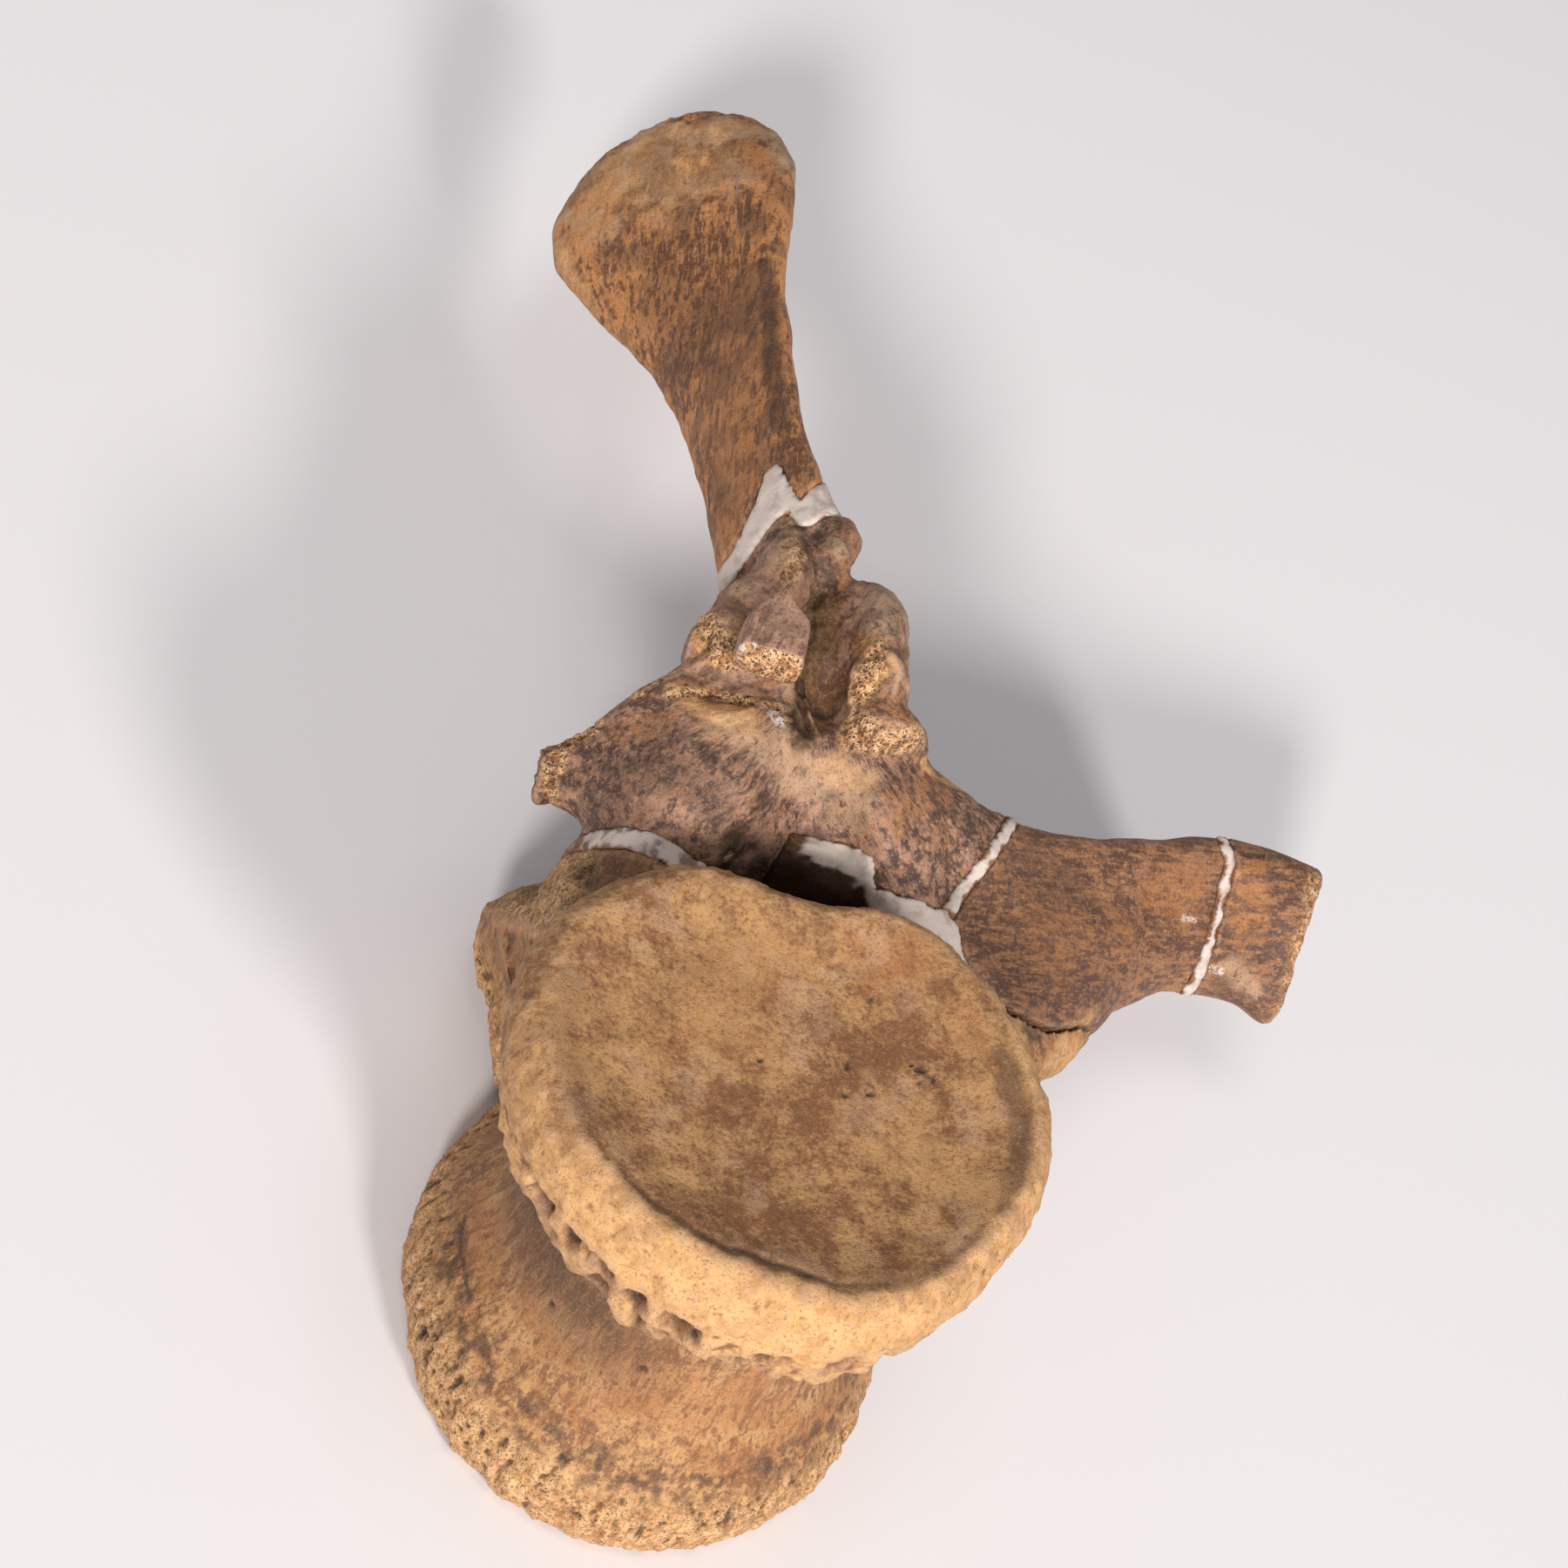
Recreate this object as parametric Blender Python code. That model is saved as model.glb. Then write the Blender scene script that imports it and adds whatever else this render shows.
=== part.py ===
"""A repaired dinosaur back vertebra, standing on the rear face of its centrum.

All the bone is first modelled as one form and then broken along the old fractures,
so every fragment fits its neighbour with the plaster fill that holds them together.
Lengths are in millimetres here and become metres when a mesh is made.
The working frame: +X towards the long process, +Y towards the top of the neural
spine, +Z along the centrum towards its front face, with the rear face at zero.
"""
import bmesh
import bpy
from math import cos, exp, pi, radians, sin
from mathutils import Matrix, Vector, noise

MM = 0.001
JOINT_GAP = 0.3          # clearance between a fill and the bone on each side
VOXEL = 1.7              # grain of the first, solid bone form
BONE_TRIANGLES = 5400    # facets of the whole bone before it is broken up

# Centrum: half width and half height of its outline at each height above the table.
CENTRUM_LENGTH = 100.0
CENTRUM_CENTRE = (-1.5, 0.3)
CENTRUM_STATIONS = (
    (5.0, 20.0, 21.0), (3.4, 33.0, 35.0), (-1.2, 41.0, 43.0), (-1.6, 50.0, 52.4), (2.0, 52.2, 54.8),
    (8.0, 52.6, 55.6), (14.0, 50.6, 53.2), (22.0, 45.5, 47.5), (34.0, 40.5, 42.0), (50.0, 38.0, 39.5),
    (62.0, 39.0, 40.0), (71.0, 43.0, 43.5), (77.0, 49.0, 48.5), (82.0, 54.0, 52.6), (87.0, 56.0, 54.6),
    (92.0, 55.6, 54.0), (96.5, 53.4, 51.4), (CENTRUM_LENGTH, 50.0, 47.6), (98.8, 46.5, 44.0),
    (96.4, 38.0, 36.0), (94.6, 22.0, 21.0),
)
# Swellings and hollows of the outline: angle from +X, spread and height.
FRONT_LOBES = ((91.0, 12.0, -7.5), (50.0, 14.0, 1.8), (-31.0, 12.0, -1.5), (160.0, 20.0, 1.8),
               (8.0, 14.0, 2.0),
               (-78.0, 18.0, 1.4))
REAR_LOBES = ((-118.0, 30.0, 2.2), (90.0, 16.0, -5.0), (-165.0, 14.0, -0.8))

# Neural canal, through the joint of arch and centrum.
CANAL_CENTRE = (2.0, 57.5)
CANAL_HALF = (13.5, 8.5)

# Left and right pedicles, as sections (height above the centrum axis, centre x, centre z, half x, half z).
LEFT_PEDICLE = ((28, -24, 46, 15, 34), (44, -29.5, 46, 14.5, 37), (60, -30.5, 47, 16, 37.5),
                (74, -27, 48, 16, 38))
RIGHT_PEDICLE = ((28, 24, 46, 14, 34), (44, 28, 45, 13, 36), (58, 30, 46, 14, 36), (76, 28, 50, 16, 37))

# Stump of the left lamina behind the pedicle: (z, centre x, centre y, half x, half y).
LEFT_STUMP = ((3, -33, 59, 10, 20), (7, -37, 68, 12.5, 21), (14, -38, 70.5, 13.5, 22),
              (24, -38, 68, 13.5, 20.5), (36, -37.5, 61.5, 13.5, 19), (48, -36, 54, 13.5, 19.5),
              (60, -35, 48, 13.5, 18.5), (74, -32.5, 46, 14, 17))

# Roof of the neural arch: (z, centre x, centre y, half x, half y).
ARCH_ROOF = ((8, 0, 90, 15, 13), (16, 0, 91, 20, 18), (34, 0, 92, 24, 22), (56, -1, 91, 28, 24),
             (76, -2, 88, 33, 26), (88, -3, 86, 33, 23), (95, -6, 86, 26, 17))

# Plates of bone, as (upper or front edge, lower or rear edge, thickness) at each section.
RIGHT_PROCESS = (
    ((4, 110, 90), (6, 70, 82), 22), ((26, 99, 86), (26, 60, 76), 20), ((40, 98, 81), (43, 50, 66), 18),
    ((52, 99.5, 77), (55, 46, 56), 17), ((66, 105, 73), (66, 49, 47), 15),
    ((79, 111, 69), (78, 60, 42), 13.5),
    ((92, 118, 65), (90, 84, 38), 13.5), ((106, 127, 61), (106, 99, 34), 13.5),
    ((118, 132.5, 58), (118, 104.5, 31), 14), ((130, 135.5, 55), (131, 107.5, 28), 15.5),
    ((148, 135.5, 52), (147, 104.5, 24), 16),
)
LEFT_WING = (
    ((-3, 112, 90), (-6, 70, 84), 20), ((-20, 107, 92), (-18, 57, 82), 19),
    ((-31, 103, 90), (-30, 61.5, 78), 18),
    ((-42, 94.5, 82), (-40, 68, 72), 16), ((-52, 87.5, 75), (-49, 76, 66), 13),
    ((-64, 82, 69), (-60, 79, 62), 11),
)
NEURAL_SPINE = (
    ((1, 100, 84), (0, 96, 34), 26), ((1, 120, 94), (-4, 118, 46), 22),
    ((0.5, 134, 98), (-12, 130, 62), 18),
    ((-1, 146, 102), (-20, 141, 76), 15.5), ((-6.8, 160, 101), (-22.5, 158, 74), 14),
    ((-11.5, 181, 96.5), (-25.5, 181, 68), 12.5), ((-13.8, 209, 91.5), (-30, 210, 58), 12.5),
    ((-14.8, 234, 87.5), (-37, 234, 49), 13.5), ((-15, 257, 85), (-50, 257, 39.5), 16.5),
    ((-13.5, 278, 82), (-62, 276, 34), 20), ((-13.5, 293, 80), (-63.5, 291, 33.5), 22.5),
    ((-17.5, 305, 77), (-59.5, 304, 38), 22), ((-25, 313, 72), (-52.5, 313, 46), 17),
    ((-32, 317, 66), (-46, 317.5, 53), 9),
)

# Lumps of the articular processes: (centre, half sizes).
KNOBS = {
    "right front joint": ((6.5, 118.5, 93.0), (11.5, 18.0, 16.0)),
    "right front joint base": ((9.0, 106.0, 92.0), (9.0, 12.0, 17.0)),
    "right ledge": ((14.0, 96.5, 93.0), (10.5, 5.0, 11.0)),
    "left front joint": ((-24.8, 107.5, 92.0), (6.8, 11.5, 11.5)),
    "left pedestal": ((-16.0, 105.0, 90.0), (12.0, 12.0, 15.0)),
    "left shelf": ((-17.5, 121.0, 90.0), (9.0, 11.0, 11.0)),
    "spur below the fill": ((-12.5, 131.0, 95.0), (6.5, 14.0, 11.0)),
    "lump below the fill": ((-1.0, 143.5, 98.5), (5.0, 6.5, 7.5)),
    "nodule": ((-2.0, 137.5, 102.5), (4.0, 4.5, 4.5)),
    "left rear joint": ((-13.0, 103.0, 18.0), (9.0, 13.0, 14.0)),
    "right rear joint": ((13.0, 103.0, 18.0), (9.0, 13.0, 14.0)),
}

# Strokes over the joined form: (path, radius, height), height below zero being a hollow.
STROKES = (
    (((0, 74, 96), (1, 71, 90)), 11.0, -6.0),
    (((-10, 98, 104), (-24, 94, 100)), 5.0, -4.0),
    (((-12, 160, 104), (-17, 213, 95), (-20, 270, 87)), 3.5, 1.6),
    (((56, 84, 78), (84, 101, 62), (112, 116, 52)), 9.0, -2.2),
    (((40, 70, 84), (52, 66, 74)), 9.0, -3.0),
    (((-38, 84, 88), (-46, 83, 80)), 8.0, -2.5),
    (((-24, 235, 78), (-34, 275, 72)), 14.0, -2.4),
    (((-50, 61, 2), (-50, 52, 26)), 11.0, -4.5),
    (((-1, 128, 108), (0, 115, 105), (-1, 104, 99), (-1, 99, 93)), 5.5, -3.0),
)

# Old fractures that were never filled: (point, outward normal, roughness, half size of the broken area).
FRACTURES = {
    "end of the right process": ((141.0, 120, 38), (0.99, -0.04, -0.03), 1.1, 34.0),
    "end of the left wing": ((-54.5, 82, 70), (-0.93, -0.06, -0.35), 1.8, 30.0),
    "right front joint face": ((6.0, 101, 103.5), (-0.45, -0.35, 0.82), 0.8, 9.0),
}

# Joints of the repair, each a band between two jagged edges on the front surface: pairs of facing points,
# then the step to where the band comes out behind, or the pairs there.
PLASTER_JOINTS = {
    "plaster_spine_base": (
        (((-28, 131, 91), (-28, 128.5, 92)), ((-22.5, 141, 93), (-20.7, 135, 100)),
         ((-20, 149, 94), (-19, 140, 102)), ((-18.5, 157, 95), (-17, 145, 103)),
         ((-18, 164, 97), (-15.5, 148, 103.5)), ((-16, 165.5, 99), (-14, 149.5, 104)),
         ((-14, 158, 102), (-12.5, 149, 104)), ((-11.5, 152, 104), (-10.5, 145, 104)),
         ((-9.5, 155, 104), (-8.5, 145, 104)), ((-6, 160, 104), (-5.5, 148, 104)),
         ((6, 166, 104), (6, 153, 104))),
        (0, 6, -70)),
    "plaster_left_pedicle": (
        (((-64, 64.5, 80), (-64, 60.5, 80)), ((-43, 62.5, 80), (-43, 58, 80)),
        ((-36, 62, 82), (-36, 57, 82)),
         ((-30, 60.5, 84), (-29.5, 55, 84)), ((-23, 58, 85), (-24, 52.5, 85)),
         ((-17, 56.5, 86), (-18, 51.5, 86)),
         ((-9, 62, 86), (-11, 54, 86)), ((-5, 64.5, 86), (-6, 57, 86))),
        (((-64, 102, 8), (-64, 99, 8)), ((-43, 100, 8), (-43, 97, 8)), ((-36, 97, 8), (-36, 94, 8)),
         ((-30, 91, 8), (-30, 87, 8)), ((-23, 83, 8), (-24, 79, 8)), ((-15, 73, 8), (-16, 69, 8)),
         ((-8, 68, 8), (-10, 64, 8)), ((-3, 67, 8), (-5, 63, 8)))),
    "plaster_right_pedicle": (
        (((-3, 69, 86), (-3, 61, 87)), ((9, 69.5, 86), (8, 61, 87)), ((15, 68, 86), (16, 59, 87)),
         ((18, 64.5, 84), (20, 56, 87)), ((25, 63.5, 84), (26, 55, 86.5)),
         ((31, 63.5, 83), (30, 54, 86)),
         ((35, 65.5, 82), (34, 53, 84)), ((38.5, 63.5, 80), (38, 52, 82)),
         ((41, 57.5, 80), (42, 51.5, 80)),
         ((47, 55.5, 79), (47, 51, 79))),
        (0, 12, -76)),
    "plaster_process_inner": (
        (((53, 109, 81), (56, 109, 81)), ((48.5, 96, 81), (51, 95.5, 81)),
        ((42.5, 82, 80), (44.7, 81.5, 80)),
         ((37, 72, 80.5), (39.3, 71, 80.5)), ((33, 63.5, 82), (36, 62.5, 82)),
         ((33, 54, 82), (36, 54, 82))),
        (3, 12, -76)),
    "plaster_process_outer": (
        (((112, 142, 62), (115, 142, 62)), ((111, 127, 61), (113.5, 128, 61)),
        ((114, 124, 58), (116.5, 125, 58)),
         ((114.5, 119, 53), (117, 119.5, 53)), ((115, 113, 47), (117, 113.5, 47)),
         ((115.5, 108, 40), (118, 107, 38)), ((114, 101, 32), (116.5, 101, 32)),
         ((113, 88, 25), (115.5, 88, 25))),
        (12, 33, -40)),
}
# A hairline joint without fill, between the right process and the stump of its lamina.
LAMINA_CRACK = (
    (((44, 56, 79), (44, 55, 79)), ((58, 56.9, 62), (58, 56, 62)), ((70, 62.4, 50), (70, 61.5, 50)),
     ((82, 73, 38), (82.5, 72.2, 38)), ((110, 86, 32), (110, 85, 32))),
    (0, 12, -76))

# The loose plate glued on the left front joint: outline, rear and front level.
LEFT_PLATE_OUTLINE = ((-16, 115), (-10.5, 104.5), (-11.5, 91), (-25, 94.5), (-24, 103.5),
                      (-21.5, 108.5))
LEFT_PLATE_LEVELS = (103.5, 112.5)

FRAGMENT_SEEDS = {
    "centrum": (0, 0, 50), "neural_arch": (-4, 88, 60), "neural_spine": (-25, 230, 70),
    "right_process": (80, 100, 56), "right_process_tip": (130, 120, 44),
}
FINISHES = {
    "centrum": ((0.36, 0.22, 0.11), 0.62), "neural_arch": ((0.22, 0.13, 0.08), 0.55),
    "neural_spine": ((0.24, 0.13, 0.07), 0.55), "right_process": ((0.20, 0.11, 0.07), 0.52),
    "right_process_tip": ((0.20, 0.11, 0.07), 0.52), "left_front_plate": ((0.27, 0.17, 0.11), 0.6),
    "plaster": ((0.66, 0.62, 0.56), 0.8),
}


def clear_scene():
    for obj in list(bpy.data.objects):
        bpy.data.objects.remove(obj, do_unlink=True)


def new_object(name, bm):
    """Turn a millimetre bmesh into a scene object in metres."""
    bmesh.ops.recalc_face_normals(bm, faces=bm.faces)
    bmesh.ops.scale(bm, vec=(MM, MM, MM), verts=bm.verts)
    mesh = bpy.data.meshes.new(name)
    bm.to_mesh(mesh)
    bm.free()
    obj = bpy.data.objects.new(name, mesh)
    bpy.context.collection.objects.link(obj)
    return obj


def loft(name, rings):
    """Skin a row of closed rings of points and close both ends."""
    bm = bmesh.new()
    rows = [[bm.verts.new(point) for point in ring] for ring in rings]
    for lower, upper in zip(rows, rows[1:]):
        for i in range(len(lower)):
            j = (i + 1) % len(lower)
            bm.faces.new((lower[i], lower[j], upper[j], upper[i]))
    bm.faces.new(list(reversed(rows[0])))
    bm.faces.new(rows[-1])
    bmesh.ops.triangulate(bm, faces=[face for face in bm.faces if len(face.verts) > 4])
    return new_object(name, bm)


def oval(centre, half_a, half_b, sides=28, squareness=2.3):
    """A rounded ring around a centre, spanned by two half-axis vectors."""
    ring = []
    for i in range(sides):
        angle = 2 * pi * i / sides
        c, s = cos(angle), sin(angle)
        reach = (abs(c) ** squareness + abs(s) ** squareness) ** (-1 / squareness)
        ring.append(Vector(centre) + (Vector(half_a) * c + Vector(half_b) * s) * reach)
    return ring


def lobed_radius(angle, half_x, half_y, lobes):
    radius = half_x * half_y / ((half_y * cos(angle)) ** 2 + (half_x * sin(angle)) ** 2) ** 0.5
    for at, spread, height in lobes:
        turn = (angle - radians(at) + pi) % (2 * pi) - pi
        radius += height * exp(-0.5 * (turn / radians(spread)) ** 2) * min(1.0, half_x / 48)
    return radius


def centrum_form():
    rings = []
    for level, half_x, half_y in CENTRUM_STATIONS:
        front = min(max(level / CENTRUM_LENGTH, 0.0), 1.0)
        ring = []
        for i in range(72):
            angle = 2 * pi * i / 72
            rear_radius = lobed_radius(angle, half_x, half_y, REAR_LOBES)
            front_radius = lobed_radius(angle, half_x, half_y, FRONT_LOBES)
            radius = rear_radius * (1 - front) + front_radius * front
            away = Vector((cos(angle), sin(angle))) * radius + Vector(CENTRUM_CENTRE)
            ring.append((*away, level))
        rings.append(ring)
    return loft("centrum form", rings)


def plate_form(name, sections):
    """Loft a plate given by its two edges and its thickness at each section."""
    middles = [(Vector(a) + Vector(b)) / 2 for a, b, _ in sections]
    rings = []
    for i, (edge_a, edge_b, thickness) in enumerate(sections):
        run = middles[min(i + 1, len(middles) - 1)] - middles[max(i - 1, 0)]
        half_width = (Vector(edge_a) - Vector(edge_b)) / 2
        across = half_width.cross(run).normalized() * thickness / 2
        rings.append(oval(middles[i], half_width, across))
    return loft(name, rings)


def upright_form(name, sections):
    """Loft sections stacked towards the top of the spine."""
    return loft(name, [oval((cx, height, cz), (hx, 0, 0),
    (0, 0, hz)) for height, cx, cz, hx, hz in sections])


def lengthwise_form(name, sections):
    """Loft sections stacked along the centrum axis."""
    return loft(name, [oval((cx, cy, level), (hx, 0, 0),
    (0, hy, 0)) for level, cx, cy, hx, hy in sections])


def knob_form(name, centre, half):
    bm = bmesh.new()
    placed = Matrix.Translation(centre) @ Matrix.Diagonal((*half, 1.0))
    bmesh.ops.create_icosphere(bm, subdivisions=3, radius=1.0, matrix=placed)
    return new_object(name, bm)


def join_objects(name, objects):
    bm = bmesh.new()
    for obj in objects:
        bm.from_mesh(obj.data)
        bpy.data.objects.remove(obj, do_unlink=True)
    mesh = bpy.data.meshes.new(name)
    bm.to_mesh(mesh)
    bm.free()
    joined = bpy.data.objects.new(name, mesh)
    bpy.context.collection.objects.link(joined)
    return joined


def bake(obj):
    """Replace an object's mesh by the mesh its modifiers give."""
    evaluated = obj.evaluated_get(bpy.context.evaluated_depsgraph_get())
    mesh = bpy.data.meshes.new_from_object(evaluated)
    obj.modifiers.clear()
    obj.data = mesh


def cut(obj, cutter, operation="DIFFERENCE"):
    modifier = obj.modifiers.new(operation.lower(), "BOOLEAN")
    modifier.operation = operation
    modifier.solver = "EXACT"
    modifier.object = cutter
    bake(obj)


def copy_of(obj, name):
    twin = bpy.data.objects.new(name, obj.data.copy())
    bpy.context.collection.objects.link(twin)
    return twin


def distance_to_path(point, path):
    nearest = 1e9
    for a, b in zip(path, path[1:]):
        run = b - a
        along = min(max((point - a).dot(run) / run.length_squared, 0.0), 1.0)
        nearest = min(nearest, (point - a - run * along).length)
    return nearest


def stroke_surface(obj):
    """Raise ridges and press hollows along the strokes."""
    mesh = obj.data
    strokes = [([Vector(p) * MM for p in path], radius * MM, height * MM) for path, radius, height in STROKES]
    moved = []
    for vertex in mesh.vertices:
        shift = 0.0
        for path, radius, height in strokes:
            away = distance_to_path(vertex.co, path) / radius
            if away < 1.6:
                shift += height * max(0.0, 1 - (away / 1.6) ** 2) ** 2
        moved.append(vertex.co + vertex.normal * shift)
    for vertex, place in zip(mesh.vertices, moved):
        vertex.co = place


def whole_bone():
    forms = [centrum_form(), upright_form("left pedicle", LEFT_PEDICLE), upright_form("right pedicle", RIGHT_PEDICLE)]
    forms += [lengthwise_form("left stump", LEFT_STUMP), lengthwise_form("arch roof", ARCH_ROOF)]
    forms += [plate_form("right process form", RIGHT_PROCESS), plate_form("left wing form", LEFT_WING)]
    forms += [plate_form("spine form", NEURAL_SPINE)]
    forms += [knob_form(name, centre, half) for name, (centre, half) in KNOBS.items()]
    bone = join_objects("bone", forms)
    remesh = bone.modifiers.new("one skin", "REMESH")
    remesh.mode = "VOXEL"
    remesh.voxel_size = VOXEL * MM
    soften = bone.modifiers.new("worn edges", "SMOOTH")
    soften.factor = 0.5
    soften.iterations = 5
    bake(bone)
    stroke_surface(bone)
    facets = sum(len(face.vertices) - 2 for face in bone.data.polygons)
    thin = bone.modifiers.new("facets", "DECIMATE")
    thin.ratio = BONE_TRIANGLES / facets
    thin.use_collapse_triangulate = True
    bake(bone)
    return bone


def box_form(name, low, high):
    bm = bmesh.new()
    bmesh.ops.create_cube(bm, size=1.0)
    size = Vector(high) - Vector(low)
    bmesh.ops.scale(bm, vec=size, verts=bm.verts)
    bmesh.ops.translate(bm, vec=(Vector(low) + Vector(high)) / 2, verts=bm.verts)
    return new_object(name, bm)


def fracture_form(name, point, normal, roughness, half_size, reach=40.0, steps=9):
    """A block whose near face is rough like broken bone; what it covers breaks away."""
    normal = Vector(normal).normalized()
    side = normal.orthogonal().normalized()
    up = normal.cross(side)
    bm = bmesh.new()
    rows = []
    for i in range(steps + 1):
        row = []
        for j in range(steps + 1):
            place = Vector(point) + side * half_size * (2 * i / steps - 1) + up * half_size * (2 * j / steps - 1)
            row.append(bm.verts.new(place + normal * roughness * 2 * noise.noise(place * 0.16)))
        rows.append(row)
    near = []
    for i in range(steps):
        for j in range(steps):
            near.append(bm.faces.new((rows[i][j], rows[i + 1][j], rows[i + 1][j + 1], rows[i][j + 1])))
    grown = bmesh.ops.extrude_face_region(bm, geom=near, use_keep_orig=True)
    far = [item for item in grown["geom"] if isinstance(item, bmesh.types.BMVert)]
    bmesh.ops.translate(bm, vec=normal * reach, verts=far)
    return new_object(name, bm)


def joint_form(name, front, behind, grow=0.0):
    """The space of a joint: its band swept from front to back, widened on both sides by grow."""
    near = [(Vector(upper), Vector(lower)) for upper, lower in front]
    if isinstance(behind[0], (int, float)):
        far = [(upper + Vector(behind), lower + Vector(behind)) for upper, lower in near]
    else:
        far = [(Vector(upper), Vector(lower)) for upper, lower in behind]
    near, far = (widened(pairs, far[0][0] - near[0][0], grow) for pairs in (near, far))
    front_end = [[a + (a - b) * 0.5 for a, b in zip(*pair)] for pair in zip(near, far)]
    back_end = [[b + (b - a) * 0.4 for a, b in zip(*pair)] for pair in zip(near, far)]
    bm = bmesh.new()
    levels = [[[bm.verts.new(point) for point in pair] for pair in pairs]
              for pairs in (front_end, near, far, back_end)]
    last = len(front) - 1
    for before, after in zip(levels, levels[1:]):
        for i in range(last):
            bm.faces.new((before[i][0], before[i + 1][0], after[i + 1][0], after[i][0]))
            bm.faces.new((before[i + 1][1], before[i][1], after[i][1], after[i + 1][1]))
        bm.faces.new((before[0][1], before[0][0], after[0][0], after[0][1]))
        bm.faces.new((before[last][0], before[last][1], after[last][1], after[last][0]))
    for i in range(last):
        bm.faces.new((levels[0][i][0], levels[0][i][1], levels[0][i + 1][1], levels[0][i + 1][0]))
        bm.faces.new((levels[-1][i + 1][0], levels[-1][i + 1][1], levels[-1][i][1], levels[-1][i][0]))
    bmesh.ops.triangulate(bm, faces=bm.faces)
    return new_object(name, bm)


def widened(pairs, axis, grow):
    """Move the two edges of a band apart, and its ends outwards, by grow."""
    wide = []
    last = len(pairs) - 1
    for i, (upper, lower) in enumerate(pairs):
        apart = upper - lower
        moved = []
        for edge, point, sign in ((0, upper, 1), (1, lower, -1)):
            along = pairs[min(i + 1, last)][edge] - pairs[max(i - 1, 0)][edge]
            out = along.cross(axis).normalized()
            out = out if out.dot(apart) > 0 else -out
            end = along.normalized() * grow * ((i == last) - (i == 0))
            moved.append(point + out * grow * sign + end)
        wide.append(moved)
    return wide


def split_fragments(bone):
    """Separate the loose bodies of the broken bone, biggest first."""
    bm = bmesh.new()
    bm.from_mesh(bone.data)
    bm.verts.index_update()
    seen, bodies = set(), []
    for start in bm.verts:
        if start in seen:
            continue
        body, stack = [], [start]
        seen.add(start)
        while stack:
            vertex = stack.pop()
            body.append(vertex)
            for edge in vertex.link_edges:
                other = edge.other_vert(vertex)
                if other not in seen:
                    seen.add(other)
                    stack.append(other)
        bodies.append(body)
    bodies.sort(key=len, reverse=True)
    pieces = []
    for body in bodies:
        keep = {vertex.index for vertex in body}
        piece = bm.copy()
        bmesh.ops.delete(piece, geom=[vertex for vertex in piece.verts if vertex.index not in keep], context="VERTS")
        pieces.append(piece)
    bm.free()
    return pieces


def object_from(name, bm):
    mesh = bpy.data.meshes.new(name)
    bmesh.ops.triangulate(bm, faces=bm.faces)
    bm.to_mesh(mesh)
    bm.free()
    obj = bpy.data.objects.new(name, mesh)
    bpy.context.collection.objects.link(obj)
    return obj


def middle_of(bm):
    return sum((vertex.co for vertex in bm.verts), Vector()) / len(bm.verts)


def finish(obj, kind):
    colour, roughness = FINISHES[kind]
    material = bpy.data.materials.new(obj.name)
    material.use_nodes = True
    shader = material.node_tree.nodes["Principled BSDF"]
    shader.inputs["Base Color"].default_value = (*colour, 1.0)
    shader.inputs["Roughness"].default_value = roughness
    shader.inputs["Metallic"].default_value = 0.0
    obj.data.materials.clear()
    obj.data.materials.append(material)
    obj.data.shade_smooth()
    obj.data.set_sharp_from_angle(angle=radians(40))


def left_plate(grow=0.0):
    low, high = LEFT_PLATE_LEVELS
    centre = sum((Vector((x, y, 0)) for x, y in LEFT_PLATE_OUTLINE), Vector()) / len(LEFT_PLATE_OUTLINE)
    rings = []
    for level, scale, lift in ((low - grow, 0.86, 0), (low + 3, 1.0, 0), (high - 1.5, 1.0, 0),
    (high, 0.86, 0)):
        ring = []
        for x, y in LEFT_PLATE_OUTLINE:
            away = Vector((x, y, 0)) - centre
            tilt = 0.22 * (x + 18) + 0.05 * (100 - y)
            ring.append(centre + away * scale + away.normalized() * grow + Vector((0, 0, level + tilt)))
        rings.append(ring)
    return loft("left_front_plate", rings)


def stand_on_origin(objects):
    """Shift every mesh so the box around the whole vertebra is centred over the origin."""
    corners = [vertex.co for obj in objects for vertex in obj.data.vertices]
    low = Vector([min(corner[axis] for corner in corners) for axis in range(3)])
    high = Vector([max(corner[axis] for corner in corners) for axis in range(3)])
    shift = Vector((-(low.x + high.x) / 2, -(low.y + high.y) / 2, -low.z))
    for obj in objects:
        obj.data.transform(Matrix.Translation(shift))


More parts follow.
